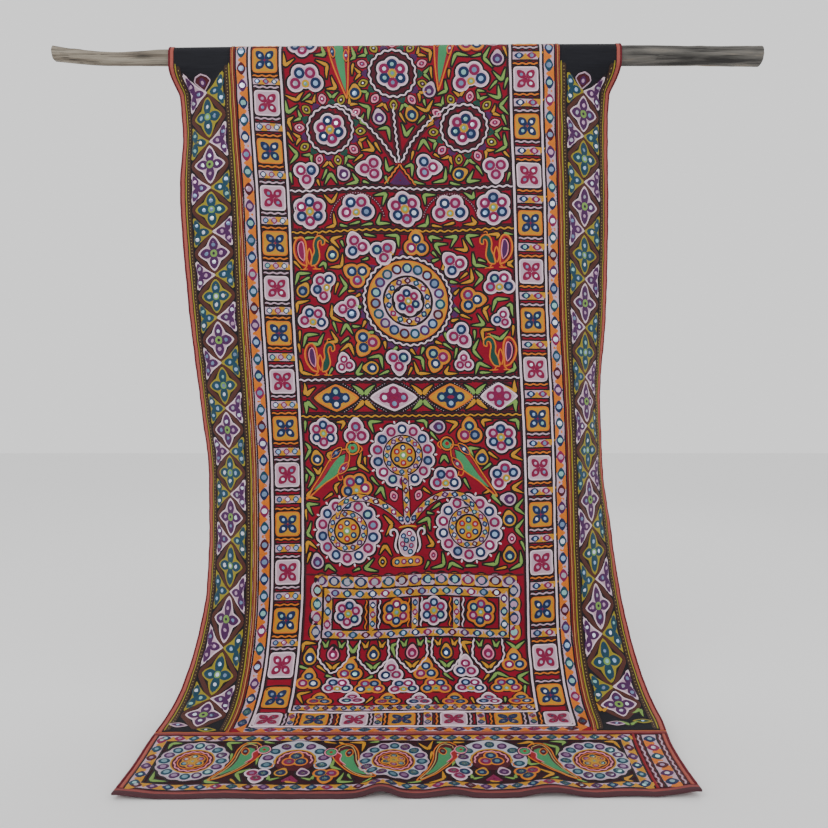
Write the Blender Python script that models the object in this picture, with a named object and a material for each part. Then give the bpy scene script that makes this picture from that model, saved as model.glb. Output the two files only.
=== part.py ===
"""A mirror-work textile hanging draped over a rough wooden pole, its foot run out along the floor.

Metres, +Z up. The floor is z = 0, +X runs along the pole and the embroidered face looks towards -Y.
Every piece of cloth is cut on one flat pattern: u runs across the cloth from its middle and s runs
along it, 0 on the crown of the pole, positive down the front and negative down the back.
drape(u, s) says where a point of the pattern's under-face hangs, and each piece is raised from it.
"""
import math

import bmesh
import bpy
import numpy as np

# Flat pattern, across the cloth
CLOTH_WIDTH = 0.900
PANEL_HALF = 0.3180
BRAID_WIDTH = 0.0090
BINDING_WIDTH = 0.0105
END_STRIP_WIDTH = 0.048
BAND_PIPING_WIDTH = 0.0050
SEAM_GAP = 0.0004

# Flat pattern, along the cloth
BACK_LENGTH = 0.300
PANEL_END = 1.408
CROSS_BRAID_LENGTH = 0.0105
HEM_LENGTH = 0.0175
FRONT_LENGTH = 1.590

# Thickness of each sort of piece
PANEL_THICKNESS = 0.0022
BRAID_THICKNESS = 0.0030
BINDING_THICKNESS = 0.0034
HEM_THICKNESS = 0.0042

# The pole: a row for each measured section of the branch
POLE_LENGTH = 1.418
POLE_Y = 0.1339
POLE_TABLE = {
    "x": (-0.709, -0.665, -0.576, -0.482, -0.030, 0.417, 0.576, 0.709),
    "height": (1.2998, 1.2943, 1.2884, 1.2913, 1.2933, 1.2951, 1.2951, 1.2943),
    "radius": (0.0147, 0.0138, 0.0132, 0.0158, 0.0178, 0.0193, 0.0187, 0.0199),
}
SCAR_DEPTH = 0.055
SCAR_WAVES = {"around": (3, 2), "along": (9.0, 21.0)}
POLE_SIDES = 20
POLE_STATIONS = 44
CLOTH_CLEARANCE = 0.0007

# Where the cloth turns from hanging to lying
BEND_LENGTH = 0.330
BEND_POWER = 1.7
BEND_STEPS = 400
HUMP_AT = 1.420
HUMP_HALF_WIDTH = 0.085
HUMP_HEIGHT = 0.012

# How the cloth hangs: a row for each height, by distance along the cloth from the crown.
# centre is the middle's x, left and right the backward turn of each side border in degrees,
# ripple the swing of the soft upright folds in degrees, width how far the cloth keeps its cut
# width and belly how far the middle hangs back.
DRAPE_TABLE = {
    "s": (0.000, 0.050, 0.095, 0.160, 0.320, 0.520, 0.740, 0.860, 0.990, 1.115, 1.200, 1.280, 1.370, 1.450, 1.620),
    "centre": (-.024, -.024, -.022, -.020, -.012, -.006, .006, .011, .013, .014, .013, .013, .012, .006, .004),
    "left": (0, 0, 22, 24, 10, 18, 29, 35, 35, 32, 24, 15, 5, 0, 0),
    "right": (0, 0, 27, 29, 31, 36, 50, 50, 42, 33, 22, 12, 3, 0, 0),
    "ripple": (0, 1, 5, 8, 11, 13, 15, 16, 16, 14, 9, 5, 1, 0, 0),
    "width": (1, 1, 1, 1, 1, 1, 1, 1, 1, 1, 1, 1, 1, .99, .978),
    "belly": (0, 0, .001, .003, .010, .016, .020, .021, .018, .012, .004, 0, 0, 0, 0),
}
TURN_START = 0.312
TURN_END = 0.362
RIPPLE_LENGTH = 0.285
RIPPLE_PHASE = 0.9
RIPPLE_DRIFT = 1.2
ACROSS_STEPS = 60
GATHER_END = 0.160

# Ridges where the free hem stands off the floor: place across the cloth, half width and height
HEM_RIDGES = {
    "u": (-0.450, -0.285, -0.041, 0.069, 0.222, 0.340, 0.450),
    "half_width": (0.050, 0.040, 0.026, 0.030, 0.040, 0.034, 0.050),
    "height": (0.0070, 0.0020, 0.0110, 0.0060, 0.0085, 0.0030, 0.0095),
}
RIDGE_START = 1.400


def smooth(t):
    """0 before 0, 1 after 1, and an S between."""
    t = np.clip(t, 0.0, 1.0)
    return t * t * (3.0 - 2.0 * t)


def along(table, key, at, column):
    """A column of a table read at the places at, with no overshoot and no corner."""
    xs = np.array(table[key], float)
    ys = np.array(table[column], float)
    at = np.clip(np.asarray(at, float), xs[0], xs[-1])
    step = np.diff(ys) / np.diff(xs)
    before, after = step[:-1], step[1:]
    inner = np.where(before * after > 0, 2 * before * after / (before + after + 1e-30), 0.0)
    slope = np.concatenate([[step[0]], inner, [step[-1]]])
    k = np.clip(np.searchsorted(xs, at, side="right") - 1, 0, len(xs) - 2)
    h = xs[k + 1] - xs[k]
    t = (at - xs[k]) / h
    return (
        (1 + 2 * t) * (1 - t) ** 2 * ys[k]
        + t * (1 - t) ** 2 * h * slope[k]
        + t * t * (3 - 2 * t) * ys[k + 1]
        + t * t * (t - 1) * h * slope[k + 1]
    )


def bend_profile():
    """Distance along, forward and fallen, on the curve that turns the cloth from hanging to lying."""
    t = np.linspace(0.0, 1.0, BEND_STEPS + 1)
    angle = 0.5 * math.pi * (1.0 - t) ** BEND_POWER
    ds = BEND_LENGTH / BEND_STEPS
    middle = 0.5 * (angle[1:] + angle[:-1])
    forward = np.concatenate([[0.0], np.cumsum(np.cos(middle)) * ds])
    fallen = np.concatenate([[0.0], np.cumsum(np.sin(middle)) * ds])
    return t * BEND_LENGTH, forward, fallen


BEND = bend_profile()
BEND_DROP = float(BEND[2][-1])


def cross_section(u, s):
    """Shift in x and y of the points of the pattern from the cloth's middle, at one distance along."""
    reach = np.abs(s)
    left = np.radians(along(DRAPE_TABLE, "s", reach, "left"))
    right = np.radians(along(DRAPE_TABLE, "s", reach, "right"))
    ripple = np.radians(along(DRAPE_TABLE, "s", reach, "ripple"))
    x = np.zeros_like(u)
    y = np.zeros_like(u)
    du = u / ACROSS_STEPS
    for k in range(ACROSS_STEPS):
        at = du * (k + 0.5)
        in_border = smooth((np.abs(at) - TURN_START) / (TURN_END - TURN_START))
        turn = np.sign(at) * np.where(at > 0, right, left) * in_border
        wave = np.sin(2 * math.pi * at / RIPPLE_LENGTH + RIPPLE_PHASE + RIPPLE_DRIFT * reach)
        angle = turn + ripple * wave * (1.0 - in_border)
        x += np.cos(angle) * du
        y += np.sin(angle) * du
    return x * along(DRAPE_TABLE, "s", reach, "width"), y


def hem_lift(u, s):
    """How far the free foot of the cloth stands off the floor."""
    lift = HUMP_HEIGHT * np.exp(-(((s - HUMP_AT) / HUMP_HALF_WIDTH) ** 2))
    near_hem = smooth((s - RIDGE_START) / (FRONT_LENGTH - RIDGE_START)) ** 1.5
    for at, half, height in zip(*(HEM_RIDGES[c] for c in ("u", "half_width", "height"))):
        lift += height * np.exp(-(((u - at) / half) ** 2)) * near_hem
    return lift


def drape(u, s):
    """The place of the under-face at the pattern's points (u, s), as an array of x, y, z."""
    u, s = np.broadcast_arrays(np.asarray(u, float), np.asarray(s, float))
    u, s = u.ravel().copy(), s.ravel().copy()
    across, back = cross_section(u, s)
    x = along(DRAPE_TABLE, "s", np.abs(s), "centre") + across
    top_x = u + DRAPE_TABLE["centre"][0]
    radius = along(POLE_TABLE, "x", top_x, "radius") + CLOTH_CLEARANCE
    axis = along(POLE_TABLE, "x", top_x, "height")
    quarter = 0.5 * math.pi * radius
    turn = np.clip(s / radius, -0.5 * math.pi, 0.5 * math.pi)
    y = POLE_Y - radius * np.sin(turn)
    z = axis + radius * np.cos(turn)
    hang = np.clip(np.abs(s) - quarter, 0.0, None)
    straight = axis - BEND_DROP
    bent = np.where(s > 0, hang - straight, 0.0)
    z -= np.where(s > 0, np.minimum(hang, straight), hang)
    in_bend = np.clip(bent, 0.0, BEND_LENGTH)
    z -= np.interp(in_bend, BEND[0], BEND[2])
    y -= np.interp(in_bend, BEND[0], BEND[1])
    y -= np.clip(bent - BEND_LENGTH, 0.0, None)
    z = np.maximum(z, 0.0) + hem_lift(u, s)
    y += back + along(DRAPE_TABLE, "s", np.abs(s), "belly")
    return np.stack([x, y, z], axis=1)


def face_normal(u, s):
    """The outward normal of the embroidered face at the pattern's points."""
    e = 0.0008
    along_u = drape(u + e, s) - drape(u - e, s)
    along_s = drape(u, s + e) - drape(u, s - e)
    n = np.cross(along_s, along_u)
    return n / np.linalg.norm(n, axis=1)[:, None]


def stations():
    """Distances along the cloth at which every piece has a row of points."""
    wrap = 0.5 * math.pi * max(POLE_TABLE["radius"]) + CLOTH_CLEARANCE
    bend_start = min(POLE_TABLE["height"]) - BEND_DROP + wrap
    bend_end = bend_start + BEND_LENGTH
    rows = [
        np.linspace(-BACK_LENGTH, -GATHER_END, 4)[:-1],
        np.linspace(-GATHER_END, -wrap, 7)[:-1],
        np.linspace(-wrap, wrap, 13)[:-1],
        np.linspace(wrap, GATHER_END, 11)[:-1],
        np.linspace(GATHER_END, bend_start, 20)[:-1],
        np.linspace(bend_start, bend_end, 13)[:-1],
        np.linspace(bend_end, FRONT_LENGTH, 6),
    ]
    return np.concatenate(rows)


def between(grid, low, high):
    """The ends low and high with what the grid has well inside them."""
    margin = 0.004
    inner = [g for g in grid if low + margin < g < high - margin]
    return np.array([low, *inner, high])


HALF = 0.5 * CLOTH_WIDTH
ACROSS_GRID = np.concatenate(
    [
        -np.linspace(PANEL_HALF + BRAID_WIDTH, HALF - BINDING_WIDTH, 5)[::-1],
        np.linspace(-PANEL_HALF, PANEL_HALF, 17),
        np.linspace(PANEL_HALF + BRAID_WIDTH, HALF - BINDING_WIDTH, 5),
    ]
)
ALONG_GRID = stations()


def cloth_piece(name, across, length, thickness, material):
    """One closed solid cut from the pattern: across and length are its low and high ends."""
    us = between(ACROSS_GRID, *across)
    ss = between(ALONG_GRID, *length)
    uu, sss = np.meshgrid(us, ss)
    under = drape(uu, sss)
    outer = under + thickness * face_normal(uu.ravel(), sss.ravel())
    columns, rows = len(us), len(ss)
    bm = bmesh.new()
    low = [bm.verts.new(p) for p in under]
    high = [bm.verts.new(p) for p in outer]
    for j in range(rows - 1):
        for i in range(columns - 1):
            a = j * columns + i
            b, c, d = a + 1, a + columns + 1, a + columns
            bm.faces.new((low[a], low[b], low[c], low[d]))
            bm.faces.new((high[d], high[c], high[b], high[a]))
    rim = [i for i in range(columns)]
    rim += [j * columns + columns - 1 for j in range(1, rows)]
    rim += [(rows - 1) * columns + i for i in range(columns - 2, -1, -1)]
    rim += [j * columns for j in range(rows - 2, 0, -1)]
    for a, b in zip(rim, rim[1:] + rim[:1]):
        bm.faces.new((low[b], low[a], high[a], high[b]))
    return finish_mesh(name, bm, material)


def finish_mesh(name, bm, material):
    """Makes an object of a mesh, with its faces pointing out."""
    bmesh.ops.recalc_face_normals(bm, faces=bm.faces)
    mesh = bpy.data.meshes.new(name)
    bm.to_mesh(mesh)
    bm.free()
    mesh.materials.append(material)
    piece = bpy.data.objects.new(name, mesh)
    bpy.context.scene.collection.objects.link(piece)
    return piece


def pole(material):
    """A branch with planed-off flats, shallow scars and square-cut ends."""
    xs = np.linspace(-0.5 * POLE_LENGTH, 0.5 * POLE_LENGTH, POLE_STATIONS + 1)
    angles = np.linspace(0.0, 2 * math.pi, POLE_SIDES, endpoint=False)
    bm = bmesh.new()
    rings = []
    for x in xs:
        radius = float(along(POLE_TABLE, "x", x, "radius"))
        height = float(along(POLE_TABLE, "x", x, "height"))
        ring = []
        for a in angles:
            one = math.sin(SCAR_WAVES["around"][0] * a + SCAR_WAVES["along"][0] * x)
            two = math.cos(SCAR_WAVES["around"][1] * a - SCAR_WAVES["along"][1] * x)
            r = radius * (1.0 - SCAR_DEPTH * (0.5 + 0.5 * one * two))
            ring.append(bm.verts.new((x, POLE_Y + r * math.cos(a), height + r * math.sin(a))))
        rings.append(ring)
    for one, two in zip(rings, rings[1:]):
        for i in range(POLE_SIDES):
            j = (i + 1) % POLE_SIDES
            bm.faces.new((one[i], one[j], two[j], two[i]))
    bm.faces.new(rings[0])
    bm.faces.new(rings[-1])
    piece = finish_mesh("pole", bm, material)
    piece.data.shade_smooth()
    piece.data.set_sharp_from_angle(angle=math.radians(50))
    return piece


def material(name, colour, roughness):
    """A plain cloth, tape or wood colour."""
    made = bpy.data.materials.new(name)
    made.use_nodes = True
    shader = made.node_tree.nodes["Principled BSDF"]
    shader.inputs["Base Color"].default_value = (*colour, 1.0)
    shader.inputs["Roughness"].default_value = roughness
    shader.inputs["Metallic"].default_value = 0.0
    return made


def long_pieces():
    """The panel, borders, braids and bindings, which run the length of the cloth over the pole."""
    red = material("red_cotton", (0.36, 0.012, 0.020), 0.85)
    black = material("black_cotton", (0.012, 0.012, 0.016), 0.85)
    braid = material("orange_braid", (0.55, 0.16, 0.07), 0.80)
    tape = material("rust_tape", (0.42, 0.10, 0.07), 0.80)
    run = (-BACK_LENGTH, PANEL_END)
    border = (PANEL_HALF + BRAID_WIDTH, HALF - BINDING_WIDTH)
    cloth_piece("field_panel", (-PANEL_HALF, PANEL_HALF), run, PANEL_THICKNESS, red)
    for side, sign in (("left", -1), ("right", 1)):
        strips = {
            "braid": (PANEL_HALF + SEAM_GAP, border[0] - SEAM_GAP, BRAID_THICKNESS, braid),
            "border": (border[0], border[1], PANEL_THICKNESS, black),
            "binding": (border[1] + SEAM_GAP, HALF, BINDING_THICKNESS, tape),
        }
        for kind, (inner, outer, thickness, colour) in strips.items():
            across = tuple(sorted((sign * inner, sign * outer)))
            cloth_piece(f"{kind}_{side}", across, run, thickness, colour)


def foot_pieces():
    """The band sewn across the foot of the hanging, with its braid, end strip, tapes and hem."""
    maroon = material("maroon_cotton", (0.060, 0.010, 0.018), 0.85)
    braid = material("pink_braid", (0.50, 0.11, 0.10), 0.80)
    tape = material("red_tape", (0.38, 0.06, 0.07), 0.80)
    braid_start = PANEL_END + SEAM_GAP
    band = (braid_start + CROSS_BRAID_LENGTH + SEAM_GAP, FRONT_LENGTH - HEM_LENGTH - SEAM_GAP)
    inner = HALF - BINDING_WIDTH
    strip_start = inner - END_STRIP_WIDTH
    piping_start = strip_start - BAND_PIPING_WIDTH
    cloth_piece("cross_braid", (-HALF, HALF), (braid_start, band[0] - SEAM_GAP), BRAID_THICKNESS, braid)
    cloth_piece("foot_band", (-inner, piping_start - SEAM_GAP), band, PANEL_THICKNESS, maroon)
    cloth_piece("foot_piping", (piping_start, strip_start - SEAM_GAP), band, BRAID_THICKNESS, tape)
    cloth_piece("foot_end_strip", (strip_start, inner), band, PANEL_THICKNESS, maroon)
    cloth_piece("foot_tape_left", (-HALF, -inner - SEAM_GAP), band, BINDING_THICKNESS, tape)
    cloth_piece("foot_tape_right", (inner + SEAM_GAP, HALF), band, BINDING_THICKNESS, tape)
    cloth_piece("hem_tape", (-HALF, HALF), (band[1] + SEAM_GAP, FRONT_LENGTH), HEM_THICKNESS, tape)


def main():
    for old in list(bpy.data.objects):
        bpy.data.objects.remove(old)
    pole(material("weathered_wood", (0.235, 0.215, 0.180), 0.80))
    long_pieces()
    foot_pieces()


main()
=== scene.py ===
"""Looks of a mirror-work hanging draped over a rough pole.

The cloth is one flat pattern: u runs across it and s along it, both in mm, with s = 0 on the crown
of the pole and positive down the front. All thread work and mirrors are laid out flat as
(u, s, height) and then hung, so that everything follows the folds of the cloth under it.
"""

import heapq
import math
import random

import bpy
import numpy as np
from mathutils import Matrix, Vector, noise


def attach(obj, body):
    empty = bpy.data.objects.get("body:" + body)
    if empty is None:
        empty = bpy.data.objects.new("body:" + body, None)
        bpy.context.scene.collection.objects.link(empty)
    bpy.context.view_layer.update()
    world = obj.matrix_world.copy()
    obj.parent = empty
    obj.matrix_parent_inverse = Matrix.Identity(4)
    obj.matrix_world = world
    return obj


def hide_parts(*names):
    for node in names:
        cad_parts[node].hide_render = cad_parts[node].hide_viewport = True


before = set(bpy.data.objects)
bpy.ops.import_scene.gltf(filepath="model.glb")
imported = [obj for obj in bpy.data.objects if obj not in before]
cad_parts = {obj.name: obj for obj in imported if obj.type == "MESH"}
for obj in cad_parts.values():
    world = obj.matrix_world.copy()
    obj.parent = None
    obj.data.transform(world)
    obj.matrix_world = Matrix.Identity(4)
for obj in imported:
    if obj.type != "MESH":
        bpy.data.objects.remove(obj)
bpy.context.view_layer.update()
draw = random.Random(11)

# The hanging, in metres, with the sizes of the frame's solids
HALF = 0.450
PANEL_HALF = 0.318
BRAID_WIDTH = 0.009
BINDING_WIDTH = 0.0105
END_STRIP_WIDTH = 0.048
BAND_PIPING_WIDTH = 0.005
BACK_LENGTH = 0.300
PANEL_END = 1.408
CROSS_BRAID_LENGTH = 0.0105
HEM_LENGTH = 0.0175
FRONT_LENGTH = 1.590
POLE_LENGTH = 1.418
POLE_Y = 0.1339
POLE_TABLE = {
    "x": (-0.709, -0.665, -0.576, -0.482, -0.030, 0.417, 0.576, 0.709),
    "height": (1.2998, 1.2943, 1.2884, 1.2913, 1.2933, 1.2951, 1.2951, 1.2943),
    "radius": (0.0147, 0.0138, 0.0132, 0.0158, 0.0178, 0.0193, 0.0187, 0.0199),
}
CLOTH_CLEARANCE = 0.0007
BEND_LENGTH = 0.330
BEND_POWER = 1.7
BEND_STEPS = 400
HUMP_AT = 1.420
HUMP_HALF_WIDTH = 0.085
HUMP_HEIGHT = 0.012
DRAPE_TABLE = {
    "s": (0, .050, .095, .160, .320, .520, .740, .860, .990, 1.115, 1.200, 1.280, 1.370, 1.450, 1.620),
    "centre": (-.024, -.024, -.022, -.020, -.012, -.006, .006, .011, .013, .014, .013, .013, .012, .006,
               .004),
    "left": (0, 0, 22, 24, 10, 18, 29, 35, 35, 32, 24, 15, 5, 0, 0),
    "right": (0, 0, 27, 29, 31, 36, 50, 50, 42, 33, 22, 12, 3, 0, 0),
    "ripple": (0, 1, 5, 8, 11, 13, 15, 16, 16, 14, 9, 5, 1, 0, 0),
    "width": (1, 1, 1, 1, 1, 1, 1, 1, 1, 1, 1, 1, 1, .99, .978),
    "belly": (0, 0, .001, .003, .010, .016, .020, .021, .018, .012, .004, 0, 0, 0, 0),
}
TURN_START = 0.312
TURN_END = 0.362
RIPPLE_LENGTH = 0.285
RIPPLE_PHASE = 0.9
RIPPLE_DRIFT = 1.2
ACROSS_STEPS = 60
HEM_RIDGES = {
    "u": (-0.450, -0.285, -0.041, 0.069, 0.222, 0.340, 0.450),
    "half_width": (0.050, 0.040, 0.026, 0.030, 0.040, 0.034, 0.050),
    "height": (0.0070, 0.0020, 0.0110, 0.0060, 0.0085, 0.0030, 0.0095),
}
RIDGE_START = 1.400

# Creases and puckers too fine for the frame's solids: place, direction and size of each soft ridge
CREASES = {
    "u": (-0.395, -0.300, 0.350, 0.395, -0.400, 0.405, -0.130, 0.150, -0.390, 0.380),
    "s": (0.170, 0.110, 0.200, 0.430, 0.640, 0.800, 1.260, 1.230, 1.180, 1.100),
    "turn": (60, 35, -50, -80, 75, -78, 8, -10, 60, -62),
    "half_length": (0.090, 0.060, 0.080, 0.110, 0.120, 0.120, 0.120, 0.110, 0.090, 0.100),
    "half_width": (0.014, 0.010, 0.014, 0.018, 0.017, 0.018, 0.016, 0.015, 0.014, 0.015),
    "height": (0.0026, 0.0018, 0.0024, -0.0026, 0.0028, 0.0030, 0.0020, 0.0018, 0.0024, -0.0026),
}
PUCKER_HEIGHT = 0.0006
TABLE_STEP = 0.0025
MM = 0.001

# Heights over the under-face of the cloth, in mm
CLOTH_LOW = 0.6
CLOTH_TOP = 1.8
UNDER = 2.0
FILL = 2.1

# The lines of the field and its borders, in mm on the pattern
FIELD = 228.0
GROUND_HALF = 224
SQUARES_OUT = 289.0
STRIP_OUT = 316.0
LEFT_SQUARES = (-230, -138, -46, 43, 126, 220, 312, 402, 492, 582, 679, 774, 868, 967, 1063, 1158, 1242, 1310)
RIGHT_SQUARES = (-190, -98, -6, 87, 180, 276, 370, 466, 563, 661, 760, 858, 951, 1046, 1138, 1230, 1307)
FOOT_SQUARES = (-262, -178, -106, -20, 74, 172, 262)
FOOT_ROW = 1369.0
FOOT_TALL = 0.80
LATTICE = 383.0
LATTICE_HALF = 41.0
LEFT_DIAMONDS = (147, 245, 335, 421, 506, 592, 687, 776, 863, 950, 1048, 1158, 1264, 1362)
RIGHT_DIAMONDS = (144, 231, 326, 427, 522, 624, 725, 827, 926, 1036, 1142, 1247, 1342)
LATTICE_FOOT = {-1: 1399.0, 1: 1374.0}
FOOT_EYES = {
    -1: ((-36, 1387, "lilac", "purple"), (20, 1400, "olive", "pine")),
    1: ((-18, 1386, "lilac", "purple"), (31, 1381, "olive", "pine")),
}
BAND_ROW = 1493.0
BAND_TALL = 0.88

# Colours of thread, and tints of the old mirror glass, which are painted reflections of the threads and
# studio round it
THREADS = {
    "lilac": (0.61, 0.415, 0.52),
    "pearl": (0.90, 0.68, 0.78),
    "ice": (0.55, 0.55, 0.64),
    "rose": (0.80, 0.27, 0.38),
    "mustard": (0.62, 0.285, 0.014),
    "orange": (0.74, 0.19, 0.014),
    "olive": (0.35, 0.285, 0.020),
    "leaf": (0.215, 0.39, 0.085),
    "emerald": (0.055, 0.29, 0.115),
    "pine": (0.006, 0.065, 0.045),
    "teal": (0.006, 0.055, 0.095),
    "navy": (0.006, 0.022, 0.085),
    "magenta": (0.23, 0.006, 0.070),
    "crimson": (0.25, 0.006, 0.055),
    "scarlet": (0.33, 0.009, 0.026),
    "purple": (0.075, 0.012, 0.090),
    "red": (0.34, 0.010, 0.012),
    "maroon": (0.075, 0.003, 0.012),
    "brown": (0.085, 0.022, 0.015),
    "umber": (0.045, 0.020, 0.010),
    "sand": (0.55, 0.40, 0.14),
    "black": (0.008, 0.004, 0.006),
}
MIRROR_REFLECTIONS = {
    "mirror_blue": (0.24, 0.38, 0.60),
    "mirror_grey": (0.30, 0.29, 0.36),
    "mirror_rose": (0.40, 0.24, 0.37),
    "mirror_green": (0.20, 0.43, 0.41),
    "mirror_white": (0.62, 0.68, 0.82),
    "mirror_slate": (0.13, 0.20, 0.34),
    "mirror_deep": (0.110, 0.230, 0.290),
    "mirror_plum": (0.230, 0.130, 0.250),
}

# Ramps of the wood: where each colour stands, and the colour
BARE_WOOD = ((0.33, (0.050, 0.040, 0.030)), (0.46, (0.18, 0.15, 0.115)), (0.62, (0.30, 0.265, 0.21)))
BARK = (
    (0.36, (0.022, 0.020, 0.018)), (0.50, (0.085, 0.080, 0.072)),
    (0.62, (0.14, 0.13, 0.115)), (0.72, (0.25, 0.20, 0.145)),
)
# Painted shade in the wood's cracks: how dark each stop of the crack ramp is
CRACK_SHADE_RAMP = ((0.36, (0.25, 0.25, 0.25)), (0.46, (1, 1, 1)))

# Which tints a mirror is drawn from, as painted reflections of the threads beside it, and which threads go
# together
COOL_REFLECTIONS = ("mirror_blue", "mirror_slate", "mirror_blue", "mirror_green", "mirror_white")
WARM_REFLECTIONS = ("mirror_rose", "mirror_grey", "mirror_rose", "mirror_slate", "mirror_white")
FOOT_REFLECTIONS = {
    COOL_REFLECTIONS: ("mirror_deep", "mirror_deep", "mirror_green"),
    WARM_REFLECTIONS: ("mirror_plum", "mirror_plum", "mirror_grey"),
}
# From here down the mirrors take mostly darker painted reflections
FOOT_TINTS_FROM = 1415.0
FRAME_REFLECTIONS = ("mirror_blue", "mirror_grey", "mirror_green", "mirror_grey", "mirror_rose")
PETALS = {"lilac": ("navy", "magenta"), "mustard": ("magenta", "navy"), "plum": ("magenta", "magenta")}
FILLS = {"lilac": "lilac", "mustard": "mustard", "plum": "lilac"}
EDGES = {"lilac": "pearl", "mustard": "orange"}
EYE_COLOURS = ("navy", "magenta", "teal", "maroon", "purple", "navy", "teal")
EYE_GLASS_SHOWN = 0.85

# Sizes of the motifs in mm: petals' reach, size, mirror, lobe and middle, then what each covers
FLOWERS = {
    "flower": ((17.0, 9.7, 4.9, 14.4, 8.2), 35),
    "large flower": ((19.2, 10.6, 5.1, 16.4, 9.0), 39),
}
HALVES = {
    "half": ((17.5, 9.8, 4.9, 14.2), (19.5, 18.0), 14),
    "large half": ((20.2, 11.0, 5.4, 16.4), (22.0, 20.5), 15),
}
TREFOILS = {
    "trefoil": ((12.0, 10.4, 5.2, 15.2), (11.8, 19.5)),
    "small trefoil": ((9.2, 8.0, 3.9, 11.8), (8.8, 15.0)),
}
HALF_PETALS = (-6, 58, 122, 186)

# The birds' outlines, in mm from their own middle, looking right
TAIL = (
    (-6, -27), (-18, -22), (-29, -6), (-31, 12), (-25, 27),
    (-15, 31), (-8, 22), (-6, 6), (-7, -10), (-6, -27),
)
TAIL_EYE = ((-12, -17), (-20, -8), (-23, 8), (-20, 19), (-14, 21), (-11, 10), (-10, -4), (-12, -17))
CREST = ((-1, -24), (-5, -9), (0, 8), (5, -9), (1, -24))
BIRD = (
    (3, -27), (14, -24), (21, -10), (20, 4), (18, 14), (20, 22), (25, 23), (26, 14),
    (32, 17), (31, 27), (22, 33), (13, 28), (9, 15), (10, 2), (5, -10), (3, -27),
)
FEET_AND_CREST = (
    ((-5, -26), (-12, -33)), ((9, -26), (14, -33)), ((-20, -34), (-4, -33)), ((6, -33), (24, -34)),
    ((17, 33), (19, 39), (25, 38)),
)
PARROT_SHELL = (
    (13, 31), (0, 26), (-13, 10), (-24, -20), (-39, -62), (-17, -33), (3, -12), (16, 10), (13, 31),
)
PARROT_BODY = ((9, 23), (-2, 14), (-11, -4), (-19, -24), (-32, -49), (-14, -30), (1, -13), (9, 4), (9, 23))
BAND_SHELL = (
    (12, 44), (0, 50), (-14, 45), (-22, 27), (-22, 4), (-28, -22),
    (-43, -54), (-17, -38), (1, -17), (13, 4), (19, 22), (12, 44),
)
BAND_BODY = (
    (6, 36), (-5, 40), (-13, 34), (-16, 18), (-16, 0), (-22, -22),
    (-34, -44), (-16, -31), (-2, -13), (7, 4), (10, 20), (6, 36),
)
BAND_BREAST = ((12, 30), (5, 20), (8, 8), (0, -6), (10, 0), (16, 12), (12, 30))
DIVING_SHELL = (
    (0, 0), (-9, 38), (-18, 84), (-20, 112), (-12, 142), (0, 152),
    (12, 142), (20, 112), (18, 84), (9, 38), (0, 0),
)
DIVING_BODY = ((0, 14), (-5, 42), (-9, 84), (-8, 116), (0, 134), (8, 116), (9, 84), (5, 42), (0, 14))

# Steps of the small shapes and of the search for free ground
MIRROR_GRID = np.linspace(-1, 1, 5)
LEAF_STEPS = np.linspace(0, 1, 6)[:, None]
NET = 2.0
WAYS = np.radians(np.arange(0, 360, 12))
STEPS = np.arange(3.0, 27.0, 3.0)
LEAF_ROOM = np.linspace(5.2, 3.0, len(STEPS))
PAIRS = [(i, j) for i in range(len(WAYS)) for j in range(len(WAYS)) if 5 <= (j - i) % len(WAYS) <= 9]
PAIR_ONE = np.array([i for i, j in PAIRS])
PAIR_TWO = np.array([j for i, j in PAIRS])

# The branch
POLE_SIDES = 64
POLE_RINGS = 420
KNOTS = {
    "x": (0.585, -0.555, 0.655, -0.660, 0.505),
    "angle": (2.6, 1.2, 4.4, 2.2, 3.8),
    "size": (0.011, 0.009, 0.010, 0.008, 0.009),
    "height": (0.0016, 0.0013, 0.0015, 0.0012, -0.0016),
}

# The studio: half the floor's side, and each lamp's name, place, aim, size and watts
FLOOR_HALF = 9.0
LIGHTS = (
    ("key", (-1.6, -2.2, 2.6), (0, 0, 0.7), 2.0, 30),
    ("fill", (2.0, -1.8, 1.6), (0, 0, 0.6), 2.4, 8),
    ("back", (0.5, 2.4, 2.4), (0, 0.1, 0.8), 2.0, 10),
)

# The camera, where the photograph was taken from
SENSOR_MM = 36.0
IMAGE_PX = 828
CAMERA_FOCAL_PX = 700.0
CAMERA_X = 0.014
CAMERA_TO_POLE = 1.408
CAMERA_HEIGHT = 0.575


def smooth(t):
    """0 before 0, 1 after 1, and an S between."""
    t = np.clip(t, 0.0, 1.0)
    return t * t * (3.0 - 2.0 * t)


def along(table, key, at, column):
    """A column of a table read at the places at, with no overshoot and no corner."""
    xs = np.array(table[key], float)
    ys = np.array(table[column], float)
    at = np.clip(np.asarray(at, float), xs[0], xs[-1])
    step = np.diff(ys) / np.diff(xs)
    before, after = step[:-1], step[1:]
    inner = np.where(before * after > 0, 2 * before * after / (before + after + 1e-30), 0.0)
    slope = np.concatenate([[step[0]], inner, [step[-1]]])
    k = np.clip(np.searchsorted(xs, at, side="right") - 1, 0, len(xs) - 2)
    h = xs[k + 1] - xs[k]
    t = (at - xs[k]) / h
    return (
        (1 + 2 * t) * (1 - t) ** 2 * ys[k]
        + t * (1 - t) ** 2 * h * slope[k]
        + t * t * (3 - 2 * t) * ys[k + 1]
        + t * t * (t - 1) * h * slope[k + 1]
    )


def bend_profile():
    """Distance along, forward and fallen, on the curve that turns the cloth from hanging to lying."""
    t = np.linspace(0.0, 1.0, BEND_STEPS + 1)
    angle = 0.5 * math.pi * (1.0 - t) ** BEND_POWER
    ds = BEND_LENGTH / BEND_STEPS
    middle = 0.5 * (angle[1:] + angle[:-1])
    forward = np.concatenate([[0.0], np.cumsum(np.cos(middle)) * ds])
    fallen = np.concatenate([[0.0], np.cumsum(np.sin(middle)) * ds])
    return t * BEND_LENGTH, forward, fallen


BEND = bend_profile()
BEND_DROP = float(BEND[2][-1])


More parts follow.
